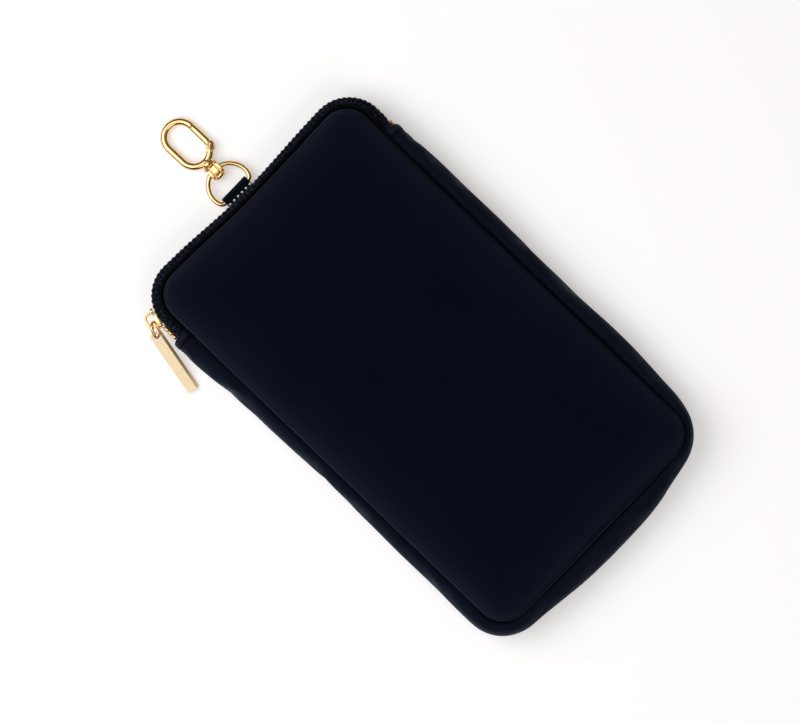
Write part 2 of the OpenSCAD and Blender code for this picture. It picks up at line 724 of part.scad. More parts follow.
// The swivel's eye: a broad loop round the ring's wire, with a bore for the rivet
eye_round_share = 0.6;
module swivel_eye() {
    half = eye_hole + eye_wall;
    bottom = -eye_drop - eye_wall;
    r = eye_round_share * half;
    module loop_outline(low, high, half, r) {
        translate([-half, low + r]) square([2 * half, high - low - 2 * r]);
        translate([r - half, low]) square([2 * (half - r), high - low]);
        for (x = [r - half, half - r], y = [low + r, high - r]) translate([x, y]) circle(r);
    }
    color(gold) hook_frame() difference() {
        translate([-eye_w / 2, 0, 0]) rotate([90, 0, 90]) linear_extrude(eye_w) rotate([0, 0, 90])
            difference() {
                loop_outline(-eye_top, -bottom, half, r);
                loop_outline(eye_wall - eye_top, eye_drop, eye_hole, eye_wall / 2);
            }
        rotate([-90, 0, 0]) cylinder(r = rivet_r + rivet_play, h = eye_top + over);
    }
}

// The rivet: its head turns inside the eye and its shank is fixed in the clasp's foot
module swivel_rivet() {
    color(gold) hook_frame() rotate([-90, 0, 0]) {
        translate([0, 0, head_y - rivet_head_t]) cylinder(r = rivet_head_r, h = rivet_head_t);
        translate([0, 0, head_y - rivet_play]) cylinder(r = rivet_r, h = eye_top + 2 * rivet_play - head_y);
    }
}

// The clasp: an oval ring whose right side is a gate
clasp_r = (clasp_w - clasp_bar) / 2;
near_y = foot_y + clasp_w / 2;
far_y = foot_y + clasp_l - clasp_w / 2;
pin_y = foot_y + gate_foot;
tip_y = pin_y + gate_l;
knuckle_r = clasp_bar / 2 + gate_play;

module clasp_frame() {
    tongue_r = clasp_bar / 2 - gate_play;
    color(gold) hook_frame() {
        difference() {
            union() {
                translate([0, far_y, 0]) rotate_extrude(angle = 180)
                    translate([clasp_r, 0]) circle(d = clasp_bar);
                translate([0, near_y, 0]) rotate([0, 0, 180]) rotate_extrude(angle = 180)
                    translate([clasp_r, 0]) circle(d = clasp_bar);
                for (side = [-1, 1]) translate([side * clasp_r, near_y, 0]) rotate([-90, 0, 0])
                    cylinder(d = clasp_bar, h = far_y - near_y);
                translate([0, foot_y - collar_t, 0]) rotate([-90, 0, 0])
                    cylinder(r = collar_r, h = collar_t + clasp_bar / 2);
            }
            translate([clasp_r - clasp_bar, pin_y, -clasp_bar])
                cube([2 * clasp_bar, gate_l + gate_play, 2 * clasp_bar]);
            translate([clasp_r, pin_y, -clasp_bar]) cylinder(r = knuckle_r, h = 2 * clasp_bar);
            translate([clasp_r, pin_y, -clasp_bar]) cylinder(d = gate_pin_d, h = 2 * clasp_bar);
        }
        difference() {
            union() {
                translate([clasp_r, pin_y, -tongue_t / 2]) cylinder(r = tongue_r, h = tongue_t);
                translate([clasp_r - tongue_r, pin_y - 2 * tongue_r, -tongue_t / 2])
                    cube([2 * tongue_r - gate_play, 2 * tongue_r, tongue_t]);
            }
            translate([clasp_r, pin_y, -clasp_bar]) cylinder(d = gate_pin_d, h = 2 * clasp_bar);
        }
        translate([clasp_r - clasp_bar / 2 + gate_play, tip_y - nose_l + gate_play, -nose_t / 2])
            cube([clasp_bar - 2 * gate_play, nose_l + gate_play, nose_t]);
    }
}

module clasp_gate() {
    slot = tongue_t / 2 + gate_play / 2;
    spring_start = clasp_bar / 2 + 2 * gate_play;
    spring_end = spring_start + spring_turns * spring_pitch + 2 * spring_wire;
    color(gold) hook_frame() translate([clasp_r, pin_y, 0]) difference() {
        union() {
            rotate([-90, 0, 0]) cylinder(d = clasp_bar, h = gate_l);
            intersection() {
                translate([0, 0, -clasp_bar / 2]) cylinder(d = clasp_bar, h = clasp_bar);
                translate([0, -clasp_bar / 2, 0]) rotate([-90, 0, 0]) cylinder(d = clasp_bar, h = clasp_bar);
            }
        }
        translate([-clasp_bar, -clasp_bar, -slot]) cube([2 * clasp_bar, clasp_bar + spring_start, 2 * slot]);
        translate([-clasp_bar, gate_l - nose_l - gate_play / 2, -nose_t / 2 - gate_play / 2])
            cube([2 * clasp_bar, nose_l + over, nose_t + gate_play]);
        rotate([-90, 0, 0]) cylinder(d = spring_d + gate_play / 2, h = spring_end);
        translate([0, 0, -clasp_bar]) cylinder(d = gate_pin_d + rivet_play * 2, h = 2 * clasp_bar);
    }
}

// Length of the gate's pin as a share of the bar's diameter
gate_pin_share = 0.92;
module gate_pin() {
    l = gate_pin_share * clasp_bar;
    color(gold) hook_frame() translate([clasp_r, pin_y, -l / 2]) cylinder(d = gate_pin_d, h = l);
}

// The gate's spring: one wire wound in turns along the gate
module gate_spring() {
    sides = 6;
    turn_steps = 8;
    steps = turn_steps * spring_turns;
    coil_r = (spring_d - spring_wire) / 2;
    start = clasp_bar / 2 + 2 * gate_play + spring_wire;
    points = [for (i = [0 : steps], j = [0 : sides - 1])
        let (a = 360 * i / turn_steps, b = 360 * j / sides, r = coil_r + spring_wire / 2 * cos(b))
        [r * cos(a), start + i / turn_steps * spring_pitch + spring_wire / 2 * sin(b), r * sin(a)]];
    walls = [for (i = [0 : steps - 1], j = [0 : sides - 1])
        let (k = (j + 1) % sides, a = i * sides + j, b = i * sides + k, c = a + sides, d = b + sides)
        each [[a, d, b], [a, c, d]]];
    last = steps * sides;
    ends = [for (j = [1 : sides - 2]) each [[0, j, j + 1], [last, last + j + 1, last + j]]];
    color(steel) hook_frame() translate([clasp_r, pin_y, 0])
        polyhedron(points = points, faces = concat(walls, ends), convexity = 10);
}

front_panel();
back_panel();
front_padding();
back_padding();
front_lining();
back_lining();
gusset();
gusset_lining();
front_binding();
back_binding();
end_tab_left();
end_tab_right();
zip_tape_front();
zip_tape_back();
zip_teeth_front();
zip_teeth_back();
zip_stop_left();
zip_stop_right();
zip_slider();
slider_bridge();
puller_link();
puller_tag();
ring_tab();
ring_tab_stitches();
d_ring();
swivel_eye();
swivel_rivet();
clasp_frame();
clasp_gate();
gate_pin();
gate_spring();
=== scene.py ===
"""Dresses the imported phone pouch: padded panels, gusset, zip tapes, webbing and gold hardware."""
import json
import math
import bpy
import bmesh
import numpy as np
from mathutils import Matrix, Vector

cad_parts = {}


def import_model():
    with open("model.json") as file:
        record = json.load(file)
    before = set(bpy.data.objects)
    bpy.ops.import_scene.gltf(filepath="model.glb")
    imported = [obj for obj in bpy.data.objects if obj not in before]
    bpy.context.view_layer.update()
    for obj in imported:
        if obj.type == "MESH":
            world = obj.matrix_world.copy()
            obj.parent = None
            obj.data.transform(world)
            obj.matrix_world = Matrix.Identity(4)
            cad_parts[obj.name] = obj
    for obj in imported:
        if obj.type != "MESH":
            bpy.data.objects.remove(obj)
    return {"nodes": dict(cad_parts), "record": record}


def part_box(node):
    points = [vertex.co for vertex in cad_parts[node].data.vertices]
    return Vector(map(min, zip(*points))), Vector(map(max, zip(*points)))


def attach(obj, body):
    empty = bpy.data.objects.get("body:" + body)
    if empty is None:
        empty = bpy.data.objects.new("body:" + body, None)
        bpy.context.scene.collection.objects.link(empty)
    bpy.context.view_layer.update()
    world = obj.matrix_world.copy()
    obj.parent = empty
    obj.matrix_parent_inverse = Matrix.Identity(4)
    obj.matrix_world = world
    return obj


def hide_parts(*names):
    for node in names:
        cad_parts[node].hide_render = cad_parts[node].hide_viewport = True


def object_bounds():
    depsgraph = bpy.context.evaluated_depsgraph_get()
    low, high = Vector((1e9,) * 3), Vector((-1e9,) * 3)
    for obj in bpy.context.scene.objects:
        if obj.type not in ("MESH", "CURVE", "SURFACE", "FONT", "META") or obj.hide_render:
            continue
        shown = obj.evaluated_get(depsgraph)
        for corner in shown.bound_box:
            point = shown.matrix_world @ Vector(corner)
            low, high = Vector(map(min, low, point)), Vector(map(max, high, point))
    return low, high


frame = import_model()
cad_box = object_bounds()

MM = 0.001
scene = bpy.context.scene
RECORD = frame["record"]
BODY_OF = {n: body for body, nodes in RECORD["behaviour"]["bodies"].items() for n in nodes}


def box_mm(name):
    """A CAD node's lowest and highest corner in millimetres."""
    return [np.array(corner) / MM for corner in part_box(name)]


# Sizes in millimetres. The dip, drop, lean and blow-up are the soft pouch's own
PANEL_LO, PANEL_HI = box_mm("front_panel")
HALF_W = (PANEL_HI[0] - PANEL_LO[0]) / 2
HALF_H = -PANEL_LO[1]
CORNER_R = 11.0
CX, CY = HALF_W - CORNER_R, HALF_H - CORNER_R
FRONT_CROWN = 2.8
BACK_CROWN = 2.2
FRONT_Z = PANEL_HI[2] - FRONT_CROWN
BACK_Z = BACK_CROWN
MID_Z = (FRONT_Z + BACK_Z) / 2
HALF_DEPTH = (FRONT_Z - BACK_Z) / 2
TOP_DIP = 1.6
DIP_REACH = 40.0
RIGHT_DROP = 1.3
FABRIC_T = 1.2
PADDING_T = 2.0
TAB_LO, TAB_HI = box_mm("end_tab_left")
END_TAB_LOW, END_TAB_Y = TAB_LO[1], TAB_HI[1]
RIGHT_TAB_LOWER = END_TAB_LOW - box_mm("end_tab_right")[0][1]
GUSSET_BULGE = 6.2
GUSSET_STEP = 1.9
GUSSET_POINTS = 27
BLOW_UP = 0.45
LEAN = 0.7
ZIP_BULGE = 5.2
ZIP_DIP = 0.8
ZIP_FLAT = 5.0
TAPE_T = 0.8
TOOTH_PITCH = 2.2
TUCK = 0.8
EDGE_TUCK = 1.3
RING_WIRE = 2.0


# Helpers for numbers
def clip01(values):
    """Values held between 0 and 1."""
    return np.clip(values, 0, 1)


def bell(distance, width):
    """A bell curve: 1 at no distance, and falling away over a width."""
    return np.exp(-(distance / width) ** 2)


def unit(vectors):
    """Vectors of length 1."""
    return vectors / np.linalg.norm(vectors, axis=-1, keepdims=True)


def lengths_along(line):
    """Length along a line up to each of its points."""
    return np.concatenate([[0], np.cumsum(np.linalg.norm(np.diff(line, axis=0), axis=1))])


# Helpers for meshes
def new_object(name, data):
    """An object in the scene."""
    made = bpy.data.objects.new(name, data)
    scene.collection.objects.link(made)
    return made


def make_mesh(name, points, faces):
    """A smooth mesh object from points in millimetres, with its faces turned outwards."""
    data = bpy.data.meshes.new(name)
    data.from_pydata([tuple(p) for p in np.asarray(points) * MM], [], faces)
    bm = bmesh.new()
    bm.from_mesh(data)
    bmesh.ops.recalc_face_normals(bm, faces=bm.faces)
    bm.to_mesh(data)
    bm.free()
    data.polygons.foreach_set("use_smooth", [True] * len(data.polygons))
    data.update()
    return new_object(name, data)


def grid_faces(rows, cols, start, ring=False):
    """Quads of a grid of rows and columns, with the columns closed to a ring or open."""
    faces = []
    for i in range(rows - 1):
        for j in range(cols if ring else cols - 1):
            k = (j + 1) % cols
            faces.append((start + i * cols + j, start + i * cols + k,
                          start + (i + 1) * cols + k, start + (i + 1) * cols + j))
    return faces


def thick_sheet(name, outer, inner, along, across, soft=True, light=1.0):
    """A closed sheet between two grids. along and across are each point's place in the cloth,
    and light the painted light and shade there: painted shade below 1 in seams and hollows, painted
    light above 1."""
    rows, cols = outer.shape[:2]
    size = rows * cols
    faces = grid_faces(rows, cols, 0) + [f[::-1] for f in grid_faces(rows, cols, size)]
    for i in range(rows - 1):
        for j in (0, cols - 1):
            a, b = i * cols + j, (i + 1) * cols + j
            faces.append((a, b, b + size, a + size))
    for i in (0, rows - 1):
        for j in range(cols - 1):
            a = i * cols + j
            faces.append((a, a + 1, a + 1 + size, a + size))
    points = np.concatenate([outer, inner]).reshape(-1, 3)
    piece = make_mesh(name, leaned(points) if soft else points, faces)
    weave = np.stack(np.broadcast_arrays(along[:, None], across, 0.0), -1)
    keep(piece, "weave", "FLOAT_VECTOR", "vector", weave * MM)
    keep(piece, "light", "FLOAT", "value", np.broadcast_to(light, (rows, cols)))
    return piece


def keep(piece, name, kind, field, values):
    """Keeps a sheet's values for its material, the same ones for the outer and the inner points."""
    attribute = piece.data.attributes.new(name, kind, "POINT")
    attribute.data.foreach_set(field, np.tile(values.astype(np.float32).ravel(), 2))


def coordinates(piece):
    """The piece's points in millimetres."""
    co = np.zeros(len(piece.data.vertices) * 3)
    piece.data.vertices.foreach_get("co", co)
    return co.reshape(-1, 3) / MM


def set_coordinates(piece, points):
    """Moves the piece's points to places in millimetres."""
    piece.data.vertices.foreach_set("co", (np.asarray(points) * MM).ravel())
    piece.data.update()


def subdivide(piece):
    """Adds one level of subdivision surface."""
    modifier = piece.modifiers.new("smooth", "SUBSURF")
    modifier.levels = 1
    modifier.render_levels = 1


def lumps(points, size, seed):
    """Smooth unevenness from -1 to 1 at each point, made of a few waves with lengths near size."""
    rng = np.random.default_rng(seed)
    total = np.zeros(len(points))
    waves = 7
    for _ in range(waves):
        direction = unit(rng.normal(size=3))
        length = size * rng.uniform(0.7, 1.6)
        total += np.sin(points @ direction * 2 * math.pi / length + rng.uniform(0, 2 * math.pi))
    return total / waves * 1.6


def uneven(grid, waves):
    """Unevenness at a grid's points. Each of waves is a length, a seed and a height."""
    total = sum(lumps(grid.reshape(-1, 3), length, seed) * height for length, seed, height in waves)
    return total.reshape(grid.shape[:2])


CLOTH_FRAMES = 20
CLOTH_SCALE = 10.0
CLOTH_SETTINGS = {"quality": 5, "mass": 0.3, "tension_stiffness": 15, "compression_stiffness": 15,
                  "bending_stiffness": 2, "use_pressure": True, "vertex_group_mass": "pins"}
INWARD_LIMIT = 0.15


def inflate(piece, pins, pressure, shrink, cap, away):
    """Blows the fabric up with Blender's cloth, at ten times its size. pins are 0 to 1 a point.
    cap limits the move, and INWARD_LIMIT the part of it against away, the way out at each point."""
    before = coordinates(piece)
    set_coordinates(piece, before * CLOTH_SCALE)
    group = piece.vertex_groups.new(name="pins")
    for i, weight in enumerate(pins):
        if weight > 0:
            group.add([i], float(weight), "REPLACE")
    modifier = piece.modifiers.new("cloth", "CLOTH")
    for key, value in CLOTH_SETTINGS.items():
        setattr(modifier.settings, key, value)
    modifier.settings.uniform_pressure_force = pressure
    modifier.settings.shrink_min = shrink
    modifier.settings.effector_weights.gravity = 0
    modifier.collision_settings.use_collision = False
    modifier.point_cache.frame_start = 1
    modifier.point_cache.frame_end = CLOTH_FRAMES
    for f in range(1, CLOTH_FRAMES + 1):
        scene.frame_set(f)
    shown = piece.evaluated_get(bpy.context.evaluated_depsgraph_get())
    after = coordinates(shown) / CLOTH_SCALE
    piece.modifiers.remove(modifier)
    piece.vertex_groups.remove(group)
    move = after - before
    length = np.linalg.norm(move, axis=1, keepdims=True)
    move = move * cap * np.tanh(length / cap) / np.maximum(length, 1e-9)
    sunk = np.minimum((move * away).sum(1) + INWARD_LIMIT, 0)
    set_coordinates(piece, before + move - away * sunk[:, None])
    scene.frame_set(1)


# The pouch's outline
def middle_share(x):
    """1 at the middle of the top edge, falling to 0 at its corners."""
    return np.where(np.abs(x) < CX, (1 + np.cos(np.pi * x / CX)) / 2, 0)


def dip(x, y):
    """How far the top edge sinks at a place."""
    right = (1 - np.cos(np.pi * clip01(x / CX))) / 2
    fade = clip01((y - HALF_H + DIP_REACH) / DIP_REACH)
    return (TOP_DIP * middle_share(x) + RIGHT_DROP * right) * fade


def walk(parts, step):
    """Points, outward normals and lengths along lines and arcs, walked anticlockwise."""
    points, normals = [], []
    for part in parts:
        if part[0] == "line":
            a, b = np.array(part[1], float), np.array(part[2], float)
            length = np.linalg.norm(b - a)
            n = max(1, round(length / step))
            t = np.arange(n)[:, None] / n
            points.append(a + (b - a) * t)
            d = (b - a) / length
            normals.append(np.tile([d[1], -d[0]], (n, 1)))
        else:
            c, start, end = np.array(part[1], float), part[2], part[3]
            n = max(1, round(CORNER_R * math.radians(end - start) * 1.4 / step))
            angle = np.radians(start + (end - start) * np.arange(n) / n)
            normal = np.stack([np.cos(angle), np.sin(angle)], 1)
            points.append(c + CORNER_R * normal)
            normals.append(normal)
    last = np.array(parts[-1][2], float)
    points.append(last[None])
    normals.append(normals[-1][-1:])
    p = np.concatenate(points)
    return p, np.concatenate(normals), lengths_along(p)


def zip_walk(step, low):
    """The zip's way from its right end over the top to its left end."""
    return walk([("line", (HALF_W, low - RIGHT_TAB_LOWER), (HALF_W, CY)), ("arc", (CX, CY), 0, 90),
                 ("line", (CX, HALF_H), (-CX, HALF_H)), ("arc", (-CX, CY), 90, 180),
                 ("line", (-HALF_W, CY), (-HALF_W, low))], step)


def gusset_walk():
    """The gusset's way from its left end round the bottom to its right end."""
    return walk([("line", (-HALF_W, END_TAB_LOW), (-HALF_W, -CY)), ("arc", (-CX, -CY), 180, 270),
                 ("line", (-CX, -HALF_H), (CX, -HALF_H)), ("arc", (CX, -CY), 270, 360),
                 ("line", (HALF_W, -CY), (HALF_W, END_TAB_LOW - RIGHT_TAB_LOWER))], GUSSET_STEP)


def leaned(points):
    """The soft front lies a little nearer to the zip than the back."""
    points = np.array(points, float)
    points[..., 1] += LEAN * np.clip((points[..., 2] - MID_Z) / HALF_DEPTH, 0, 1.1) ** 2
    return points


def place(points, normals, w):
    """Points at offsets w from the outline, with the dip of the top."""
    p = points + normals * np.asarray(w)[..., None]
    y = p[..., 1] - dip(points[..., 0], points[..., 1])
    return p[..., 0], y


# How much the gusset bows: left side, corner, bottom, corner and right side
LEFT_SHARES = [1.34, 0.95, 0.8, 0.8, 0.87, 0.9]
BOTTOM_SHARES = [0.71, 1.19, 1.33, 1.26, 0.62]
RIGHT_SHARES = [0.74, 1.1, 1.03, 1.12, 1.11, 1.1]
LEFT_CORNER_SHARE = 0.82
RIGHT_CORNER_SHARE = 0.4
BOW_REACH = 6.0


def bow_shares(lengths):
    """The gusset's bow at each length along it, smoothed."""
    side = END_TAB_LOW + CY
    arc = math.pi / 2 * CORNER_R
    bottom = 2 * CX
    knots = np.concatenate([np.linspace(0, side, len(LEFT_SHARES)), [side + arc / 2],
                            side + arc + np.linspace(0, bottom, len(BOTTOM_SHARES)),
                            [side + 1.5 * arc + bottom],
                            side + 2 * arc + bottom
                            + np.linspace(0, side - RIGHT_TAB_LOWER, len(RIGHT_SHARES))])
    shares = LEFT_SHARES + [LEFT_CORNER_SHARE] + BOTTOM_SHARES + [RIGHT_CORNER_SHARE] + RIGHT_SHARES
    offsets = np.linspace(-BOW_REACH, BOW_REACH, 9)
    return sum(np.interp(lengths + o, knots, shares) for o in offsets) / len(offsets)


# Materials
class Nodes:
    """Builds a material's nodes, or the sky's: each call adds nodes and gives an output."""

    def __init__(self, name, sky=False):
        self.owner = (bpy.data.worlds if sky else bpy.data.materials).new(name)
        self.owner.use_nodes = True
        self.tree = self.owner.node_tree

    def add(self, kind, values=None, output=0, **settings):
        node = self.tree.nodes.new("ShaderNode" + kind)
        for key, value in settings.items():
            setattr(node, key, value)
        for key, value in (values or {}).items():
            self.put(node.inputs[key], value)
        return node.outputs[output]

    def put(self, socket, value):
        if isinstance(value, bpy.types.NodeSocket):
            self.tree.links.new(value, socket)
        else:
            socket.default_value = value

    def math(self, operation, a, b=0.0):
        return self.add("Math", {0: a, 1: b}, operation=operation)

    def times(self, a, b):
        return self.math("MULTIPLY", a, b)

    def mixed(self, a, share_a, b, share_b):
        """The sum of two heights or tones, each times its share."""
        return self.math("ADD", self.times(a, share_a), self.times(b, share_b))

    def ramp(self, factor, low, high, start=0.0, end=1.0):
        """A colour between two, as factor goes from start to end."""
        blend = self.add("ValToRGB", {0: factor})
        for element, spot, colour in zip(blend.node.color_ramp.elements, (start, end), (low, high)):
            element.position = spot
            element.color = (*colour, 1)
        return blend

    def scaled(self, colour, factor):
        """A colour times a number."""
        return self.add("VectorMath", {0: colour, "Scale": factor}, operation="SCALE")

    def added(self, a, b):
        """The sum of two colours."""
        return self.add("VectorMath", {0: a, 1: b}, operation="ADD")

    def steepness(self):
        """How far the surface turns away from the pouch's front: 0 flat, 1 upright."""
        facing = self.add("SeparateXYZ", {0: self.add("TexCoord", output=1)}, output=2)
        turned = self.math("SUBTRACT", 1.0, self.times(facing, facing))
        return self.times(turned, turned)

    def light(self):
        """The painted light and shade that the mesh keeps at each point."""
        return self.add("Attribute", output=2, attribute_name="light")

    def span(self, factor, low, high):
        return self.add("MapRange", {"Value": factor, "To Min": low, "To Max": high})

    def place(self):
        return self.add("TexCoord", output=3)

    def noise(self, vector, per_metre, detail=2.0, roughness=0.5):
        return self.add("TexNoise", {"Vector": vector, "Scale": per_metre, "Detail": detail,
                                     "Roughness": roughness})

    def bump(self, height, depth_mm, strength=1.0, below=None):
        values = {"Height": height, "Distance": depth_mm * MM, "Strength": strength}
        if below is not None:
            values["Normal"] = below
        return self.add("Bump", values)

    def finish(self, **values):
        """Sets the inputs of the material's shader, and gives the material."""
        for key, value in values.items():
            self.put(self.tree.nodes["Principled BSDF"].inputs[key.replace("_", " ")], value)
        return self.owner


def shade(colour, factor):
    return tuple(c * factor for c in colour)


NAVY = (0.0020, 0.0037, 0.0108)
# Painted light: the gusset is the same navy knit as the panels, painted lighter for the light its
# sides catch
GUSSET_NAVY_PAINTED_LIGHTER = (0.0042, 0.0058, 0.0130)
TAPE_NAVY = (0.0052, 0.0070, 0.0160)
# Painted light: the pale tone added to the navy cloth on steep faces and on the padded roll
PAINTED_LIGHT_TONE = (0.031, 0.036, 0.050)
SHEEN_TINT = (0.45, 0.55, 0.85, 1)
GOLD = (0.86, 0.58, 0.25)
PULLER_GOLD = (0.94, 0.75, 0.46)


def neoprene(name, colour):
    """Smooth matt knit: a fine grain and faint cloudy tone, with painted light where it turns away
    from the front and where its kept tone is above 1, and painted shade where that tone is below 1.
    """
    n = Nodes(name)
    where = n.place()
    grain = n.noise(where, 2600, 3)
    knit = n.add("TexVoronoi", {"Vector": where, "Scale": 1900})
    cloud = n.noise(where, 45, 3)
    tone = n.mixed(cloud, 0.7, grain, 0.3)
    height = n.mixed(knit, 0.7, grain, 1.0)
    soft = n.bump(cloud, 0.5, 0.06)
    light = n.light()
    base = n.ramp(tone, shade(colour, 0.88), shade(colour, 1.12), 0.3, 0.7)
    # Painted light on steep faces and where the kept tone is above 1; painted shade darkens the
    # colour where it is below 1
    painted_steep_light = n.scaled(PAINTED_LIGHT_TONE, n.steepness())
    painted_extra_light = n.scaled(PAINTED_LIGHT_TONE, n.math("MAXIMUM", n.math("SUBTRACT", light, 1.0), 0.0))
    shown = n.scaled(n.added(base, painted_steep_light), n.math("MINIMUM", light, 1.0))
    return n.finish(Base_Color=n.added(shown, painted_extra_light),
                    Roughness=n.span(grain, 0.62, 0.78), Normal=n.bump(height, 0.06, 0.35, soft),
                    Specular_IOR_Level=0.02, Sheen_Weight=n.times(light, 0.16),
                    Sheen_Roughness=0.32, Sheen_Tint=SHEEN_TINT)


def woven(name, colour, pitches, depth, sheen, specks=0.0):
    """Plain weave in the cloth's own places: ribs along and across, at pitches in millimetres."""
    n = Nodes(name)
    weave = n.add("Attribute", output=1, attribute_name="weave")
    split = n.add("SeparateXYZ", {0: weave}).node.outputs
    turn = 2 * math.pi / MM
    cells = n.times(*(n.math("SINE", n.times(split[k], turn / pitches[k])) for k in (0, 1)))
    fuzz = n.noise(n.place(), 3200, 3)
    cloud = n.noise(n.place(), 160, 3)
    height = n.mixed(cells, 0.5, fuzz, 0.7)
    tone = n.mixed(height, 0.45, cloud, 0.6)
    light = n.light()
    if specks:
        spots = n.span(n.noise(n.place(), 1000, 2), 1 - specks * 5, 1 + specks * 5)
        light = n.times(light, n.math("MAXIMUM", spots, 0.25))
    base = n.ramp(tone, shade(colour, 0.4), shade(colour, 1.6), 0.15, 0.85)
    # Painted light: a pale tone on steep faces; the kept painted light and shade then scales the
    # colour
    painted_steep_light = n.scaled(PAINTED_LIGHT_TONE, n.times(n.steepness(), 0.6))
    return n.finish(Base_Color=n.scaled(n.added(base, painted_steep_light), light),
                    Roughness=n.span(fuzz, 0.6, 0.85), Normal=n.bump(height, depth, 0.8),
                    Specular_IOR_Level=0.04, Sheen_Weight=n.times(light, sheen),
                    Sheen_Roughness=0.4, Sheen_Tint=SHEEN_TINT)


def gold(name, colour, low, high, metal=1.0):
    """Gold plate with faint smudges and fine scratches; its roughness runs from low to high."""
    n = Nodes(name)
    where = n.place()
    smudge = n.noise(where, 260, 4, 0.6)
    fine = n.noise(where, 2600, 2)
    stretched = n.add("Mapping", {"Vector": where, "Scale": (0.25, 3.0, 1.0)})
    scratch = n.noise(stretched, 2400, 2)
    return n.finish(Base_Color=n.ramp(smudge, shade(colour, 0.9), colour, 0.3, 0.7),
                    Metallic=metal, Roughness=n.span(smudge, low, high), Coat_Weight=0.6,
                    Coat_IOR=1.7, Coat_Roughness=0.1,
                    Normal=n.bump(n.math("ADD", scratch, fine), 0.012, 0.25))


def thread(name, colour):
    """Twisted sewing thread."""
    n = Nodes(name)
    where = n.place()
    strands = n.add("TexWave", {"Vector": where, "Scale": 900, "Distortion": 1.0, "Detail": 1.0},
                    output=1, bands_direction="DIAGONAL")
    return n.finish(Base_Color=n.ramp(strands, shade(colour, 0.72), colour), Roughness=0.6,
                    Normal=n.bump(strands, 0.05, 0.6), Specular_IOR_Level=0.3)


def foam(name):
    """Grey closed cell foam."""
    n = Nodes(name)
    cells = n.add("TexVoronoi", {"Vector": n.place(), "Scale": 1400})
    return n.finish(Base_Color=n.ramp(cells, (0.06, 0.065, 0.08), (0.14, 0.15, 0.17)),
                    Roughness=0.9, Normal=n.bump(cells, 0.2, 0.6))


def plain_cloth(name, colour):
    """Thin plain weave for the inside, by place."""
    n = Nodes(name)
    where = n.place()
    warp = n.add("TexWave", {"Vector": where, "Scale": 500}, output=1, bands_direction="X")
    weft = n.add("TexWave", {"Vector": where, "Scale": 500}, output=1, bands_direction="Y")
    height = n.math("ADD", warp, weft)
    return n.finish(Base_Color=n.ramp(height, shade(colour, 0.7), shade(colour, 1.2), 0.0, 2.0),
                    Roughness=0.75, Normal=n.bump(height, 0.05, 0.5))


def steel(name):
    """Drawn steel wire."""
    n = Nodes(name)
    drawn = n.noise(n.place(), 1500, 2)
    return n.finish(Base_Color=n.ramp(drawn, (0.5, 0.5, 0.52), (0.65, 0.65, 0.66)), Metallic=1.0,
                    Roughness=n.span(drawn, 0.25, 0.4))


MATERIALS = {
    "navy_fabric": neoprene("navy_neoprene", NAVY),
    "navy_gusset": neoprene("navy_gusset_neoprene_painted_lighter", GUSSET_NAVY_PAINTED_LIGHTER),
    "navy_tape": woven("navy_zip_tape", TAPE_NAVY, (0.73, 0.8), depth=0.16, sheen=0.2, specks=0.6),
    "navy_webbing": woven("navy_webbing_weave", shade(NAVY, 1.1), (0.9, 1.0), depth=0.14, sheen=0.15),
    "navy_lining": plain_cloth("navy_lining_weave", (0.014, 0.019, 0.042)),
    "navy_binding": plain_cloth("navy_binding_weave", (0.01, 0.014, 0.032)),
    "foam": foam("padding_foam"),
    "white_thread": thread("white_sewing_thread", (0.88, 0.87, 0.84)),
    "gold_metal": gold("light_gold_plate", GOLD, 0.14, 0.24),
    "gold_teeth": gold("gold_teeth_plate", GOLD, 0.18, 0.3),
    "gold_puller": gold("pale_gold_plate", PULLER_GOLD, 0.36, 0.46, metal=0.6),
    "spring_steel": steel("spring_wire"),
}


def dress(piece, slot, body, *nodes, material=None):
    """Gives a piece the material of its slot, or another one, and its body, and hides the nodes that
    it stands for.
    """
    piece.data.materials.clear()
    piece.data.materials.append(MATERIALS[material or slot])
    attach(piece, body)
    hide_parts(*nodes)


# The padded panels
RIM_STEPS = np.array([0, 0.2, 0.5, 0.95, 1.55, 2.3, 3.2, 4.3, 5.6, 7.2, 9.1])
FIELD_STEP = 2.5
ROLL_WIDTH = 6.5
BACK_ROLL_WIDTH = 5.0
ROLL_SHARE, FIELD_SHARE = 0.93, 0.07
PANEL_WAVES = [(55, 4, 0.12), (16, 10, 0.05)]
GUSSET_WAVES = [(26, 21, 0.3), (9, 22, 0.08)]
PINCH = 1.0
PANEL_GROOVE = 0.75
GUSSET_GROOVE = 0.6


def panel_lines(half):
    """Places of a panel's grid lines from edge to edge, closer together near the edges."""
    inner = half - RIM_STEPS[-1]
    field = np.linspace(-inner, inner, round(2 * inner / FIELD_STEP) + 1)[1:-1]
    return np.concatenate([RIM_STEPS - half, field, (half - RIM_STEPS)[::-1]])


def panel_grid():
    """Places of the panel's grid points in plan, and each one's distance from the seam."""
    x, y = np.meshgrid(panel_lines(HALF_W), panel_lines(HALF_H), indexing="ij")
    a = clip01((np.abs(x) - CX) / CORNER_R)
    b = clip01((np.abs(y) - CY) / CORNER_R)
    px = np.where(a > 0, np.sign(x) * (CX + CORNER_R * a * np.sqrt(1 - b * b / 2)), x)
    py = np.where(b > 0, np.sign(y) * (CY + CORNER_R * b * np.sqrt(1 - a * a / 2)), y)
    qx, qy = np.abs(px) - CX, np.abs(py) - CY
    inside = np.minimum(np.maximum(qx, qy), 0)
    depth = CORNER_R - np.hypot(np.maximum(qx, 0), np.maximum(qy, 0)) - inside
    return px, py - dip(px, py), np.maximum(depth, 0)


def roll(depth, width):
    """Height of a padded roll from its seam, from 0 to 1."""
    return (1 - (1 - clip01(depth / width)) ** 2.2) ** 0.62


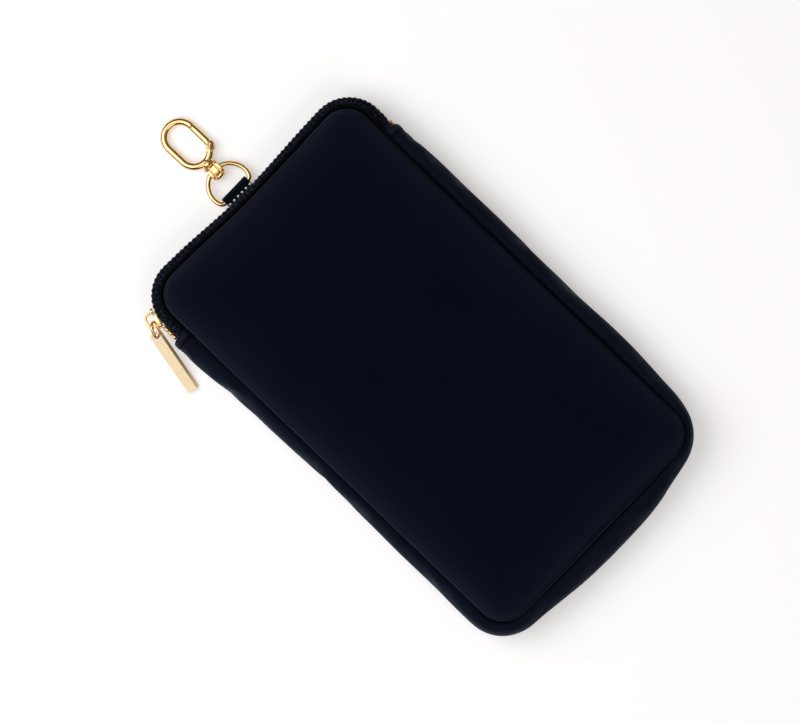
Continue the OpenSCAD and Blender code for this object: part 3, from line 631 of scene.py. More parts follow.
# How deep the painted shade in the seam grooves is, and how much fainter it is along the left side
SEAM_SHADE_DEPTH, LEFT_FAINTER = 0.94, 0.45


def painted_seam_shade(depth, x, y, reach):
    """Painted shade in a seam's groove, fainter along the left side."""
    left = clip01((-x - 40) / 8) * clip01((88 - np.abs(y)) / 8)
    return 1 - (SEAM_SHADE_DEPTH - LEFT_FAINTER * left) * bell(depth, reach)


def panel(name, side, *nodes):
    """A padded panel: side is 1 for the front, -1 for the back."""
    x, y, depth = panel_grid()
    if side > 0:
        height = ROLL_SHARE * roll(depth, ROLL_WIDTH) + FIELD_SHARE * clip01(depth / 34) ** 0.7
        bumps = uneven(np.stack([x, y, np.zeros_like(x)], -1), PANEL_WAVES)
        z = FRONT_CROWN * height + bumps * clip01(depth / 8)
    else:
        z = BACK_CROWN * roll(depth, BACK_ROLL_WIDTH)
    z = z - PINCH * bell(depth, 0.45)
    seam = FRONT_Z if side > 0 else BACK_Z
    upper = np.stack([x, y, seam + side * z], -1)
    drop = FABRIC_T + PADDING_T * clip01(depth / 5)
    lower = np.stack([x, y, seam + side * (z - drop)], -1)
    # Painted shade in the seam's groove, and painted light on the padded roll beside it
    roll_painted_light = 0.10 * bell(depth, 4.5) + 0.05 * bell(depth, 14)
    light = painted_seam_shade(depth, x, y, PANEL_GROOVE) + roll_painted_light
    piece = thick_sheet(name, upper, lower, x[:, 0], y[0], light=light)
    pins = np.concatenate([clip01(1 - depth.ravel() / 2.5), np.ones(depth.size)])
    way_out = np.array([0, 0, side])
    if side > 0:
        inflate(piece, pins, pressure=2.0, shrink=-0.006, cap=0.9, away=way_out)
    else:
        inflate(piece, pins, pressure=1.2, shrink=-0.004, cap=0.6, away=way_out)
        points = coordinates(piece)
        points[:, 2] = np.maximum(points[:, 2], 0)
        set_coordinates(piece, points)
    subdivide(piece)
    dress(piece, "navy_fabric", "pouch", *nodes)


# The gusset
def gusset_section():
    """Shares of the bow and of half the depth across the gusset, from front to back."""
    angle = np.linspace(math.pi / 2, -math.pi / 2, GUSSET_POINTS)
    rise = np.sin(angle)
    return np.clip(1 - np.abs(rise) ** 4, 0, 1) ** (1 / 3), rise


def gusset():
    """The padded side band, with its edges tucked under the panels."""
    p, normal, s = gusset_walk()
    w_share, rise = gusset_section()
    bulge = GUSSET_BULGE * bow_shares(s) - BLOW_UP
    pull = bell(s, 5) + bell(s[-1] - s, 5)
    tuck = np.full((len(s), 1), TUCK)

    def across_rows(inset):
        """Offsets from the seam and heights of every point."""
        w = np.hstack([-tuck, w_share[None] * (bulge - inset)[:, None], -tuck])
        up = np.broadcast_to(rise * (HALF_DEPTH - inset), (len(s), len(rise)))
        up = up - PINCH * bell(w[:, 1:-1], 0.5) * np.sign(up)
        edge = HALF_DEPTH - inset - EDGE_TUCK
        return w, np.hstack([edge + 0 * tuck, up, 0 * tuck - edge])

    def rows(inset):
        w, up = across_rows(inset)
        x, y = place(p[:, None], normal[:, None], w)
        return np.stack([x, y, MID_Z + up], -1)

    outer = rows(0)
    w = across_rows(0)[0]
    away = np.concatenate([normal, np.zeros((len(normal), 1))], 1)[:, None]
    full = np.hstack([[0], w_share, [0]])
    fade = full[None] * (1 - 0.8 * clip01(pull))[:, None]
    outer = outer + away * (uneven(outer, GUSSET_WAVES) * fade)[..., None]
    across = np.linspace(0, 2 * (HALF_DEPTH + GUSSET_BULGE), GUSSET_POINTS + 2)
    # Painted shade in the gusset's seam grooves
    light = painted_seam_shade(np.maximum(w, 0), p[:, :1], p[:, 1:], GUSSET_GROOVE)
    piece = thick_sheet("padded_gusset", outer, rows(FABRIC_T), s, across, light=light)
    edge = clip01(1 - full / 0.45)
    ends = clip01(1 - np.minimum(s, s[-1] - s) / 3)
    held = np.maximum(edge[None], ends[:, None]).ravel()
    way_out = np.broadcast_to(away, outer.shape).reshape(-1, 3)
    inflate(piece, np.concatenate([held, np.ones(held.size)]), pressure=2.0, shrink=-0.008, cap=0.8,
            away=np.concatenate([way_out, way_out]))
    subdivide(piece)
    dress(piece, "navy_fabric", "pouch", "gusset", material="navy_gusset")


# The folded tabs over the zip's ends: height up the tab, how far it stands proud, and its tone, which
# is painted shade in the groove under the fold and painted light on the fold
TAB_ROWS = [(-1.3, -1.1, 1), (-1.0, -0.6, 1), (-0.5, -0.38, 1), (0.0, -0.32, 1), (0.25, -0.4, 0.7),
            (0.38, -0.65, 0.12), (0.5, -0.9, 0.05), (0.62, -0.6, 0.12), (0.8, -0.3, 0.9),
            (1.5, -0.12, 1.12), (2.8, -0.15, 1.18), (3.6, -0.35, 1.0), (3.9, -0.9, 0.8),
            (4.0, -1.8, 0.4), (3.9, -2.9, 0.1)]


def end_tab(name, side, node):
    """A tab folded over a zip end: side is -1 for the left, 1 for the right."""
    share = bow_shares(np.array([0.0, gusset_walk()[2][-1]]))[0 if side < 0 else 1]
    bulge = GUSSET_BULGE * share
    w_share, rise = gusset_section()
    wobble = 0.08 * np.sin(np.linspace(0, 9, GUSSET_POINTS) + side)

    def rows(inset):
        grid = []
        for up, proud, _ in TAB_ROWS:
            out = max(bulge + proud - inset, 3.4)
            x = side * (HALF_W + w_share * (out + wobble))
            y = np.full(GUSSET_POINTS, END_TAB_LOW + up - RIGHT_TAB_LOWER * (side > 0))
            grow = 0.1 + min(0, proud + 0.3) * 0.6
            z = MID_Z + rise * (HALF_DEPTH + grow - inset)
            grid.append(np.stack([x, y, z], -1))
        return np.array(grid)

    heights, _, painted_tones = np.array(TAB_ROWS).T
    across = np.linspace(0, 2 * (HALF_DEPTH + GUSSET_BULGE), GUSSET_POINTS)
    # Painted shade: darker still towards the tab's front and back edges, where it tucks under the
    # seams
    light = painted_tones[:, None] * (0.2 + 0.8 * clip01(w_share / 0.3))
    piece = thick_sheet(name, rows(0), rows(0.7), heights, across, light=light)
    subdivide(piece)
    dress(piece, "navy_fabric", "pouch", node, material="navy_gusset")


def tubes(name, paths, sides, closed=False):
    """Round tubes, each from its middle line and its radius at each point."""
    points, faces = [], []
    for line, radii in paths:
        line = np.asarray(line, float)
        radii = np.broadcast_to(radii, (len(line),))
        start = len(points)
        along = np.roll(line, -1, 0) - np.roll(line, 1, 0) if closed else np.gradient(line, axis=0)
        side = np.cross(unit(along[0]), [0.12, 0.31, 0.94])
        for centre, direction, radius in zip(line, unit(along), radii):
            side = unit(side - direction * (side @ direction))
            up = np.cross(direction, side)
            for j in range(sides):
                turn = 2 * math.pi * j / sides
                points.append(centre + radius * (side * math.cos(turn) + up * math.sin(turn)))
        end = start + (len(line) - 1) * sides
        faces += grid_faces(len(line), sides, start, ring=True)
        if closed:
            first = np.array(points[start:start + sides])
            last = np.array(points[-sides:])
            shift = np.argmin([np.abs(np.roll(first, -k, 0) - last).sum() for k in range(sides)])
            for j in range(sides):
                k = (j + 1) % sides
                faces.append((end + j, end + k, start + (k + shift) % sides,
                              start + (j + shift) % sides))
        else:
            faces.append(tuple(range(start, start + sides))[::-1])
            faces.append(tuple(range(end, end + sides)))
    piece = make_mesh(name, points, faces)
    return piece


# The zip. Shares of its bow and fall across the slope, and of the bow at the mesh's points
TAPE_SLOPE = [(0.0, 0.0), (0.2, 0.09), (0.42, 0.24), (0.64, 0.44), (0.84, 0.69), (0.95, 0.88),
              (1.0, 1.06)]
TAPE_SHARES = [0, 0.07, 0.15, 0.24, 0.33, 0.41, 0.48, 0.55, 0.62, 0.69, 0.76, 0.83, 0.89, 0.95, 1.0]
LEFT_OPEN_END = 86.8
RIGHT_OPEN_END = 79.0
RIGHT_OPEN_SHARE = 0.75
OPEN_REACH = 3
SLIT_CLOSED, SLIT_OPEN = 0.45, 2.0
TAPE_STEP = 0.3
TAPE_ABOVE_TAB = 1.2
UPRIGHT_POINTS = 6
ROPE_WIDTH = 0.12
INNER_ROPE, OUTER_ROPE = 0.52, 0.9
BUMP_HEIGHT = 0.45
BUMP_OUT = 0.34
LEFT_PULL, RIGHT_PULL = 0.3, 1.1


def zip_bow(x, y):
    """How far the zip bows out of the outline at a place."""
    along = clip01((x + 50) / 12)
    top = clip01((y - CY) / 8)
    return ZIP_BULGE - ZIP_DIP * middle_share(x) * (y > CY) - 0.3 * along * top


def opening(p):
    """How far the zip's ends stand open: 1 left of the slider, less at the right end."""
    left = clip01((LEFT_OPEN_END - p[:, 1]) / OPEN_REACH) * (p[:, 0] < 0)
    right = RIGHT_OPEN_SHARE * clip01((RIGHT_OPEN_END - p[:, 1]) / OPEN_REACH) * (p[:, 0] > 0)
    return left + right


def zip_tape(name, side, node):
    """One tape: a slope from the seam with two ropes of bumps, then upright down to the slit."""
    p, normal, s = zip_walk(TAPE_STEP, END_TAB_LOW + TAPE_ABOVE_TAB)
    opened = opening(p)[:, None]
    bow = zip_bow(p[:, 0], p[:, 1])[:, None]
    drop = HALF_DEPTH - ZIP_FLAT
    fall = np.interp(TAPE_SHARES, *np.array(TAPE_SLOPE).T)
    upright = np.linspace(0.2, 1, UPRIGHT_POINTS)
    edge = SLIT_CLOSED + opened * SLIT_OPEN
    w_share = np.concatenate([TAPE_SHARES, np.ones(UPRIGHT_POINTS)])[None]
    sloped = np.concatenate([np.ones(len(fall)), np.zeros(UPRIGHT_POINTS)])[None]
    above = np.concatenate([np.ones(len(fall)), 1 - upright])[None]
    run = lengths_along(p + normal * ZIP_BULGE)

    def crest(shift):
        """The bumps' heights along the zip, from 0 to 1."""
        return ((0.5 + 0.5 * np.cos(2 * math.pi * (run / TOOTH_PITCH + shift))) ** 0.8)[:, None]

    inner_rope = bell(w_share - INNER_ROPE, ROPE_WIDTH) * sloped
    outer_rope = bell(np.minimum(w_share, OUTER_ROPE) - OUTER_ROPE, ROPE_WIDTH)
    bumps = crest(0) * inner_rope + crest(0.5) * outer_rope
    between = np.maximum(inner_rope, outer_rope) * 0.5
    spread = np.stack(np.broadcast_arrays(s[:, None], w_share * 6, side * 9.0), -1)
    rough = uneven(spread, [(1.3, 40 + side, 0.13)])

    def rows(inset):
        w = w_share * (bow - inset)
        low = HALF_DEPTH - drop * fall[-1]
        up = np.hstack([np.broadcast_to(HALF_DEPTH - drop * fall - inset * 0.6, (len(p), len(fall))),
                        low - (low - edge) * upright[None]])
        up = up - PINCH * bell(w, 0.5)
        up = up + (BUMP_HEIGHT * (bumps - between) + rough * clip01(w_share / 0.3)) * sloped
        w = w + BUMP_OUT * (crest(0.5) - 0.5) * outer_rope * above * (inset == 0)
        pulled = np.where(p[:, :1] < 0, LEFT_PULL, RIGHT_PULL)
        w = w - opened * pulled * clip01((w_share - 0.55) / 0.45)
        w = np.hstack([np.full((len(p), 1), -TUCK), w])
        up = np.hstack([np.full((len(p), 1), HALF_DEPTH - EDGE_TUCK - inset), up])
        x, y = place(p[:, None], normal[:, None], w)
        return np.stack([x, y, MID_Z + side * up], -1)

    across = np.arange(w_share.size + 1) * 0.4
    # Painted shade in the seam's groove and on the tucked edge, and painted highlights on the bumps'
    # tops
    seam = 1 - 0.92 * bell(w_share * bow, 1.2)
    light = np.hstack([np.full((len(p), 1), 0.05), seam * (0.35 + 0.8 * clip01(bumps))])
    piece = thick_sheet(name, rows(0), rows(TAPE_T), s, across, light=light)
    subdivide(piece)
    dress(piece, "navy_tape", "pouch", node)


def tooth_places():
    """Places along the zip: point, normal and how open the zip is there."""
    p, normal, s = zip_walk(0.2, END_TAB_Y)
    spots = np.arange(TOOTH_PITCH * 0.4, s[-1] - 0.6, TOOTH_PITCH / 2)
    at, out = (np.stack([np.interp(spots, s, v[:, k]) for k in range(2)], -1) for v in (p, normal))
    return at, unit(out), opening(at)


TOOTH_SIZE = np.array([1.9, 1.6, 2.3])
TOOTH_SUNK = 1.93
TOOTH_OUT = 2.45
BEAD_RINGS, BEAD_SIDES = 7, 10


def bead(centre, out, along, start):
    """A rounded tooth's points and faces, which count its points from start."""
    points = []
    for i in range(BEAD_RINGS):
        lat = math.pi * (i + 0.5) / BEAD_RINGS - math.pi / 2
        for j in range(BEAD_SIDES):
            lon = 2 * math.pi * j / BEAD_SIDES
            ball = np.array([math.cos(lat) * math.cos(lon), math.cos(lat) * math.sin(lon),
                             math.sin(lat)])
            block = np.sign(ball) * np.abs(ball) ** 0.72 * TOOTH_SIZE / 2
            points.append(centre + out * block[0] + along * block[1] + np.array([0, 0, block[2]]))
    end = start + (BEAD_RINGS - 1) * BEAD_SIDES
    faces = grid_faces(BEAD_RINGS, BEAD_SIDES, start, ring=True)
    faces.append(tuple(range(start, start + BEAD_SIDES))[::-1])
    faces.append(tuple(range(end, end + BEAD_SIDES)))
    return points, faces


def teeth(name, side, node):
    """Every second tooth, on the front's tape (side 1) or the back's (side -1)."""
    at, out, opened = tooth_places()
    points, faces = [], []
    for i in range(0 if side > 0 else 1, len(at), 2):
        normal = np.array([*out[i], 0])
        along = np.array([-out[i][1], out[i][0], 0])
        x, y = place(at[i], out[i], zip_bow(*at[i]) - TOOTH_SUNK + TOOTH_OUT * opened[i])
        low = 0.55 + 0.3 * opened[i]
        centre = np.array([x, y, MID_Z + side * (low + TOOTH_SIZE[2] / 2)])
        more, quads = bead(centre, normal, along, len(points))
        faces += quads
        points += more
    piece = make_mesh(name, points, faces)
    dress(piece, "gold_teeth", "pouch", node)


# The webbing tab and its stitches. Shares of the half width, and of the thickness there
WEBBING_T = 0.85
RING_PLAY = 0.25
STITCH_COUNT, STITCH_L = 6, 1.3
WIDTH_SHARES = np.array([-1, -0.975, -0.92, -0.8, -0.55, -0.3, 0, 0.3, 0.55, 0.8, 0.92, 0.975, 1])
THICK_SHARES = np.array([0.45, 0.85, 1, 0.97, 0.94, 0.93, 0.93, 0.93, 0.94, 0.97, 1, 0.85, 0.45])


def ring_tab():
    """The webbing, folded round the ring's bar and stitched below it."""
    lo, hi = box_mm("ring_tab")
    bar_lo, bar_hi = box_mm("d_ring")
    bar_z = (bar_lo[2] + bar_hi[2]) / 2
    bar_y = bar_lo[1] + RING_WIRE / 2
    mid_r = RING_WIRE / 2 + RING_PLAY + WEBBING_T / 2
    leg = WEBBING_T / 2 + 0.05
    stitch_y = sum(corner[1] for corner in box_mm("ring_tab_stitches")) / 2
    reach = bar_y - stitch_y
    base = math.pi + math.atan2(leg, reach)
    swing = math.acos(mid_r / math.hypot(reach, leg))
    turn = np.linspace(base + swing, 4 * math.pi - base - swing, 21)
    arc = np.stack([bar_y + mid_r * np.cos(turn), bar_z + mid_r * np.sin(turn)], 1)
    line = np.concatenate([[[lo[1] + 0.15, bar_z - leg], [(lo[1] + stitch_y) / 2, bar_z - leg],
                            [stitch_y, bar_z - leg]], arc,
                           [[stitch_y, bar_z + leg], [stitch_y - 0.7, bar_z + leg]]])
    ahead = unit(np.gradient(line, axis=0))
    normal = np.stack([ahead[:, 1], -ahead[:, 0]], 1)
    across = (lo[0] + hi[0]) / 2 + (hi[0] - lo[0]) / 2 * WIDTH_SHARES

    def rows(sign):
        grid = []
        for q, n in zip(line, normal):
            offset = sign * WEBBING_T / 2 * THICK_SHARES
            fray = 0.06 * np.sin(q[0] * 9 + q[1] * 7)
            x = across + fray * np.abs(WIDTH_SHARES) ** 8 * np.sign(WIDTH_SHARES)
            grid.append(np.stack([x, q[0] + n[0] * offset, q[1] + n[1] * offset], -1))
        return np.array(grid)

    piece = thick_sheet("webbing_tab", rows(1), rows(-1), lengths_along(line), across, soft=False)
    subdivide(piece)
    dress(piece, "navy_webbing", "pouch", "ring_tab")


def tab_stitches():
    """Six plump white stitches."""
    lo, hi = box_mm("ring_tab_stitches")
    xs = np.linspace(lo[0] + STITCH_L / 2 - 0.3, hi[0] - STITCH_L / 2 + 0.7, STITCH_COUNT)
    rng = np.random.default_rng(5)
    t = np.linspace(-0.5, 0.5, 9)
    z = lo[2] + 0.45 + 0.25 * (1 - (2 * t) ** 2)
    radius = 0.4 * np.sqrt(np.clip(1 - (2 * t) ** 4, 0.05, 1))
    pieces = []
    for x in xs:
        y = (lo[1] + hi[1]) / 2 + 0.6 + rng.uniform(-0.12, 0.12) * t
        pieces.append((np.stack([x + t * 0.95, y, z], -1), radius))
    piece = tubes("white_stitches", pieces, 10)
    dress(piece, "white_thread", "pouch", "ring_tab_stitches")


# Hardware: copies of the CAD solids with softened edges
def soften(node, name, width, reshape=None, material=None):
    """A copy of a CAD node with its flat faces joined and its sharp edges rounded."""
    data = frame["nodes"][node].data.copy()
    data.name = name
    bm = bmesh.new()
    bm.from_mesh(data)
    bmesh.ops.remove_doubles(bm, verts=bm.verts, dist=2e-6)
    bmesh.ops.dissolve_limit(bm, angle_limit=math.radians(0.6), verts=bm.verts, edges=bm.edges)
    bm.to_mesh(data)
    bm.free()
    piece = new_object(name, data)
    if reshape:
        set_coordinates(piece, reshape(coordinates(piece)))
    data.polygons.foreach_set("use_smooth", [True] * len(data.polygons))
    bevel = piece.modifiers.new("round", "BEVEL")
    bevel.width = width * MM
    bevel.segments = 3
    bevel.limit_method = "ANGLE"
    bevel.angle_limit = math.radians(38)
    normals = piece.modifiers.new("normals", "WEIGHTED_NORMAL")
    normals.weight = 80
    dress(piece, "gold_metal", BODY_OF[node], node, material=material)


# Round hardware and the swivel, in the frames of their joints
JOINTS = {j["name"]: j for j in RECORD["behaviour"]["joints"]}
HOOK_AT = np.array(JOINTS["eye_swing"]["pos_m"]) / MM
HOOK_Y = np.array(JOINTS["clasp_swivel"]["axis"], float)
HOOK_Z = np.array(JOINTS["gate_open"]["axis"], float)
HOOK_X = np.cross(HOOK_Y, HOOK_Z)
PIN = np.array(JOINTS["gate_open"]["pos_m"]) / MM - HOOK_AT
PIN_X, PIN_Y = PIN @ HOOK_X, PIN @ HOOK_Y
CLASP_BAR = 3.1
CLASP_R = PIN_X
CLASP_L = 23.4
FOOT_Y = 3.15
NEAR_Y = FOOT_Y + CLASP_R + CLASP_BAR / 2
FAR_Y = FOOT_Y + CLASP_L - CLASP_R - CLASP_BAR / 2
GATE_L = 10.2
TUBE_SIDES = 28


def in_hook(points):
    """Points of the hook's frame in the shared frame."""
    points = np.asarray(points, float)
    return HOOK_AT + points[..., :1] * HOOK_X + points[..., 1:2] * HOOK_Y + points[..., 2:] * HOOK_Z


def arc_points(centre, radius, start, end, count):
    """Points of an arc in the XY plane, between two angles in degrees."""
    angle = np.radians(np.linspace(start, end, count))
    return np.stack([centre[0] + radius * np.cos(angle), centre[1] + radius * np.sin(angle),
                     np.zeros(count)], 1)


def ring_tube():
    """The D-ring: a closed loop of round wire with a straight bar in the tab."""
    lo, hi = box_mm("d_ring")
    corner = 2.1
    radius = (hi[0] - lo[0] - RING_WIRE) / 2
    side_y = hi[1] - lo[1] - RING_WIRE - radius
    at = np.array(JOINTS["ring_swing"]["pos_m"]) / MM
    half = radius - corner
    bend = arc_points((0, 0), 1, -90, 0, 20) * [corner, side_y, 0] + [half, side_y, 0]
    line = np.concatenate([
        np.stack([np.linspace(-half, half, 9)[:-1], np.zeros(8), np.zeros(8)], 1),
        bend[:-1],
        arc_points((0, side_y), radius, 0, 180, 72),
        (bend * [-1, 1, 1])[::-1][1:-1]])
    piece = tubes("d_ring_wire", [(at + line, RING_WIRE / 2)], TUBE_SIDES, closed=True)
    dress(piece, "gold_metal", "ring", "d_ring")


# A bar's ends are rounded over: places near the end, and how much slimmer the bar is there
END_STEPS = np.array([0, 0.1, 0.3])
END_SLIMMER = (0.28, 0.1, 0.03)


def bevelled(count, radius, both=True):
    """Radii of a bar whose last end, or both ends, are rounded over."""
    radii = np.full(count, radius)
    for i, less in enumerate(END_SLIMMER):
        radii[-1 - i] -= less
        if both:
            radii[i] -= less
    return radii


def with_ends(line):
    """Adds points close to both ends of a line, for its rounded-over ends."""
    first, last = unit(line[1] - line[0]), unit(line[-1] - line[-2])
    return np.concatenate([line[0] + END_STEPS[:, None] * first, line[1:-1],
                           line[-1] - END_STEPS[::-1, None] * last])


# The clasp: the angle where its bar ends at the gate, the places and radii of its collar, of the
# lugs beside the pin and of the pin's ends, and the gate's round knuckle
OVAL_END = -40.2
COLLAR = np.array([(2.65, 1.2), (2.66, 2.5), (2.74, 2.68), (2.95, 2.75), (3.6, 2.75), (3.8, 2.65),
                   (3.9, 2.3), (4.0, 1.9), (4.4, 1.75), (5.0, 1.6), (5.6, 1.2)])
LUG = np.array([(1.6, 1.4), (1.64, 1.5), (1.8, 1.5), (1.88, 1.34)])
KNUCKLE_R = 1.55
KNUCKLE_TURN = math.radians(27.6)
KNUCKLE_DEPTHS = np.array([1.52, 1.45, 1.3, 1.1, 0.8, 0.45, 0])
PIN_ENDS = np.array([(-2.0, 0.3), (-1.96, 0.48), (-1.8, 0.55), (1.8, 0.55), (1.96, 0.48), (2.0, 0.3)])
GATE_GAP = 0.06


def clasp_pieces():
    """The oval bar with its collar, and the gate that follows the oval's right side."""
    radius = CLASP_BAR / 2 - 0.02
    tip = PIN_Y + GATE_L
    path = np.concatenate([
        [[CLASP_R, tip + GATE_GAP, 0], [CLASP_R, (tip + FAR_Y + GATE_GAP) / 2, 0]],
        arc_points((0, FAR_Y), CLASP_R, 0, 180, 44),
        np.stack([np.full(5, -CLASP_R), np.linspace(FAR_Y, NEAR_Y, 7)[1:-1], np.zeros(5)], 1),
        arc_points((0, NEAR_Y), CLASP_R, 180, 360 + OVAL_END, 38)])
    path = with_ends(path)
    foot = [[0, y, 0] for y in COLLAR[:, 0]]
    bars = [(in_hook(path), bevelled(len(path), radius)), (in_hook(foot), COLLAR[:, 1])]
    pin_at = np.array([PIN_X, PIN_Y])
    lug_end = arc_points((0, NEAR_Y), CLASP_R, OVAL_END, OVAL_END, 1)[0, :2]
    for side in (-1, 1):
        for share in np.linspace(0, 1, 6):
            middle = pin_at * (1 - share) + lug_end * share
            bars.append((in_hook([[*middle, side * z] for z in LUG[:, 0]]), LUG[:, 1]))
    dress(tubes("clasp_oval", bars, TUBE_SIDES), "gold_metal", "clasp", "clasp_frame")
    down = np.array([-math.sin(KNUCKLE_TURN), -math.cos(KNUCKLE_TURN), 0])
    ball = np.array([*pin_at, 0]) + KNUCKLE_DEPTHS[:, None] * down
    bend = arc_points((0, NEAR_Y), CLASP_R, -14, 0, 5)
    heights = np.array([(NEAR_Y + tip) / 2, *(tip - GATE_GAP - END_STEPS[::-1])])
    straight = np.stack([np.full(4, CLASP_R), heights, np.zeros(4)], 1)
    gate_line = np.concatenate([ball, bend, straight])
    radii = bevelled(len(gate_line), radius, both=False)
    radii[:len(ball)] = np.sqrt(KNUCKLE_R ** 2 - KNUCKLE_DEPTHS ** 2)
    gate_bar = tubes("clasp_gate_bar", [(in_hook(gate_line), radii)], TUBE_SIDES)
    dress(gate_bar, "gold_metal", "gate", "clasp_gate")
    pin = in_hook([[*pin_at, z] for z in PIN_ENDS[:, 0]])
    pin_bar = tubes("gate_pin_ends", [(pin, PIN_ENDS[:, 1])], 18)
    dress(pin_bar, "gold_metal", "clasp", "gate_pin")


# The swivel's eye: half width, and its reach to both sides of the ring's wire
EYE_HALF = 2.95
EYE_LOW, EYE_TOP, EYE_HALF_Z = -4.5, 2.6, 3.1
HOLE_LOW, HOLE_TOP, HOLE_HALF_Z = -3.7, 1.8, 2.3
EYE_GROOVES = (-3.05, -2.15, 1.35)
EYE_TAPER = 1.3
EYE_ROUND, EYE_CORNER, HOLE_CORNER = 0.45, 1.5, 0.5
GROOVE_DEPTH, SIDE_DEPTH, DEEPEST = 0.4, 0.5, 0.6
SIDE_GROOVE = 0.46


def rounded_loop(low, top, half, corner):
    """Points round a rectangle with round corners: corner and side in turn."""
    centres = [(top - corner, half - corner, 0), (low + corner, half - corner, 90),
               (low + corner, corner - half, 180), (top - corner, corner - half, 270)]
    corners = [arc_points((y, z), corner, start, start + 90, 7)[:, :2] for y, z, start in centres]
    share = np.linspace(0, 1, 14)[1:-1, None]
    parts = []
    for arc, after in zip(corners, corners[1:] + corners[:1]):
        parts += [arc, arc[-1] + (after[0] - arc[-1]) * share]
    return np.concatenate(parts)


def swivel_eye():
    """A broad eye with grooves across it and a rounded lower end."""
    fine = np.linspace(-0.94, 0.94, 45)
    xs = EYE_HALF * np.concatenate([[-1, -0.99, -0.97], fine, [0.97, 0.99, 1]])
    outer, inner = [], []
    for x in xs:
        share = abs(x) / EYE_HALF
        over = EYE_ROUND * (1 - math.sqrt(max(0, 1 - max(0, (share - 0.85) / 0.15) ** 2)))
        low = EYE_LOW + 0.3 * (share > 0.62) + EYE_TAPER * share ** 3
        y, z = rounded_loop(low + over, EYE_TOP - over, EYE_HALF_Z - over, EYE_CORNER).T
        across = sum(bell(y - groove, 0.2) for groove in EYE_GROOVES) * GROOVE_DEPTH
        beside = SIDE_DEPTH * bell(share - SIDE_GROOVE, 0.07) + 0.25 * (share > SIDE_GROOVE)
        z = z - np.sign(z) * np.minimum(across + beside, DEEPEST) * (np.abs(z) > 1.6)
        outer.append(np.stack([np.full_like(y, x), y, z], 1))
        y, z = rounded_loop(HOLE_LOW + EYE_TAPER * share ** 3, HOLE_TOP, HOLE_HALF_Z, HOLE_CORNER).T
        inner.append(np.stack([np.full_like(y, x), y, z], 1))
    sheets = np.array([outer, inner])
    rows, cols = sheets.shape[1:3]
    size = rows * cols
    faces = grid_faces(rows, cols, 0, ring=True)
    faces += [f[::-1] for f in grid_faces(rows, cols, size, ring=True)]
    for i in (0, rows - 1):
        for j in range(cols):
            k = (j + 1) % cols
            faces.append((i * cols + j, i * cols + k, i * cols + k + size, i * cols + j + size))
    piece = make_mesh("swivel_barrel", in_hook(sheets.reshape(-1, 3)), faces)
    piece.data.set_sharp_from_angle(angle=math.radians(35))
    dress(piece, "gold_metal", "eye", "swivel_eye")


BEVEL_REACH, BEVEL_DEPTH = 1.2, 1.0


def bevel_puller(points):
    """A wide bevel along the bar's right edge, which the light catches."""
    normal = np.array(JOINTS["tag_swing"]["axis"], float)
    normal *= np.sign(normal[2])
    around = points - points.mean(0)
    up = around @ normal
    long_way = np.linalg.svd(around - np.outer(up, normal), full_matrices=False)[2][0]
    side = np.cross(normal, long_way)
    side *= np.sign(side[0])
    out = around @ side
    share = clip01((out - out.max() + BEVEL_REACH) / BEVEL_REACH) * (up > 0)
    return points - side * (share * BEVEL_DEPTH)[:, None]


# Build everything
panel("front_pad", 1, "front_panel", "front_padding")
panel("back_pad", -1, "back_panel", "back_padding")
gusset()
end_tab("folded_tab_left", -1, "end_tab_left")
end_tab("folded_tab_right", 1, "end_tab_right")
zip_tape("front_zip_tape", 1, "zip_tape_front")
zip_tape("back_zip_tape", -1, "zip_tape_back")
teeth("front_teeth", 1, "zip_teeth_front")
teeth("back_teeth", -1, "zip_teeth_back")
ring_tab()
tab_stitches()
soften("zip_slider", "slider_body", 0.3)
soften("slider_bridge", "slider_bridge_bar", 0.3)
soften("puller_tag", "puller_bar", 0.2, reshape=bevel_puller, material="gold_puller")
ring_tube()
clasp_pieces()
swivel_eye()

for part in RECORD["subparts"]:
    for slot in frame["nodes"][part["node"]].material_slots:
        slot.material = MATERIALS[part["material_slot"]]


# Stage. The sky's ramp from the horizon to overhead: places on it and tones
FLOOR_HALF = 3000
SKY_TONES = [(0.0, 0.2), (0.3, 0.05), (0.6, 0.11), (0.8, 0.3), (0.97, 0.42)]
METRES_PER_PIXEL = 0.3886e-3
PHOTO_WIDTH = 800
CAMERA_DISTANCE = 2.5


def floor():
    """A wide floor just below the pouch, which glows where the camera or a reflection sees it."""
    low = cad_box[0][2] / MM - 0.05
    corners = [(x * FLOOR_HALF, y * FLOOR_HALF, low) for x, y in ((-1, -1), (1, -1), (1, 1), (-1, 1))]
    plane = make_mesh("floor", corners, [(0, 1, 2, 3)])
    n = Nodes("pale_floor")
    ray = n.add("LightPath").node.outputs
    mirrored = n.math("ADD", ray["Is Glossy Ray"], ray["Is Transmission Ray"])
    seen = n.math("MINIMUM", n.math("ADD", ray["Is Camera Ray"], mirrored), 1.0)
    n.finish(Base_Color=(0.775, 0.775, 0.79, 1), Roughness=0.9, Specular_IOR_Level=0.0,
             Emission_Color=(1.0, 0.985, 0.99, 1), Emission_Strength=n.times(seen, 0.39))
    plane.data.materials.append(n.owner)


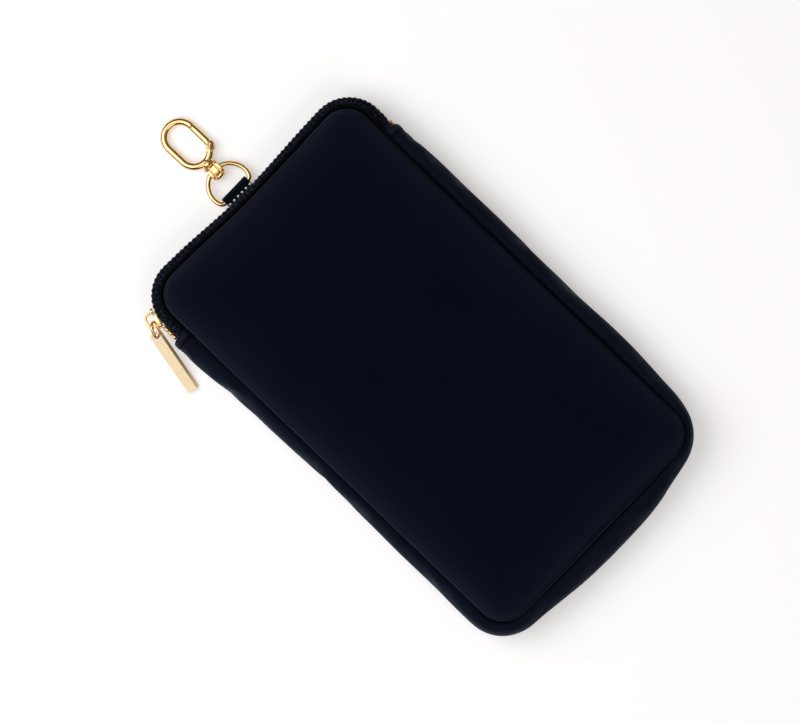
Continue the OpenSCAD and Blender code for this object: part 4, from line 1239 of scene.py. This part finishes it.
def world():
    """Soft sky: bright overhead, dimmer towards the horizon, and white where the camera sees it."""
    n = Nodes("studio", sky=True)
    scene.world = n.owner
    n.tree.nodes.clear()
    up = n.add("SeparateXYZ", {0: n.add("TexCoord")}, output=2)
    sky = n.add("ValToRGB", {0: up})
    elements = sky.node.color_ramp.elements
    while len(elements) < len(SKY_TONES):
        elements.new(0.5)
    for element, (position, tone) in zip(elements, SKY_TONES):
        element.position = position
        element.color = (tone, tone * 0.9, tone * 0.78, 1)
    light = n.add("Background", {"Color": sky, "Strength": 1.0})
    white = n.add("Background", {"Color": (1, 1, 1, 1)})
    shown = n.add("MixShader", {0: n.add("LightPath"), 1: light, 2: white})
    n.put(n.tree.nodes.new("ShaderNodeOutputWorld").inputs["Surface"], shown)


def lamp(name, position, size, power):
    """A square lamp that faces the middle of the frame."""
    data = bpy.data.lights.new(name, "AREA")
    data.size = size
    data.energy = power
    light = new_object(name, data)
    light.location = position
    light.rotation_mode = "QUATERNION"
    light.rotation_quaternion = (-Vector(position)).to_track_quat("-Z", "Y")


def camera():
    """The photograph's view: from above, turned, and a little from the bottom end."""
    tilt = math.radians(3)
    turn = math.radians(-46.2)
    target = Vector((-5.75, 8.1, 15)) * MM
    back_way = Vector((0, -math.sin(tilt), math.cos(tilt)))
    right = Vector((math.cos(turn), math.sin(turn), 0))
    right = (right - back_way * right.dot(back_way)).normalized()
    up = back_way.cross(right)
    data = bpy.data.cameras.new("photo_camera")
    data.sensor_width = 36
    data.lens = CAMERA_DISTANCE * data.sensor_width / (METRES_PER_PIXEL * PHOTO_WIDTH)
    data.clip_start = 0.01
    cam = new_object("photo_camera", data)
    facing = Matrix((right, up, back_way)).transposed().to_4x4()
    cam.matrix_world = Matrix.Translation(target + back_way * CAMERA_DISTANCE) @ facing
    scene.camera = cam


floor()
world()
lamp("key", (-0.45, 0.5, 0.9), 1.1, 9.5)
lamp("fill", (-0.15, -0.62, 0.95), 0.7, 2.6)
camera()
scene.view_settings.view_transform = "Standard"
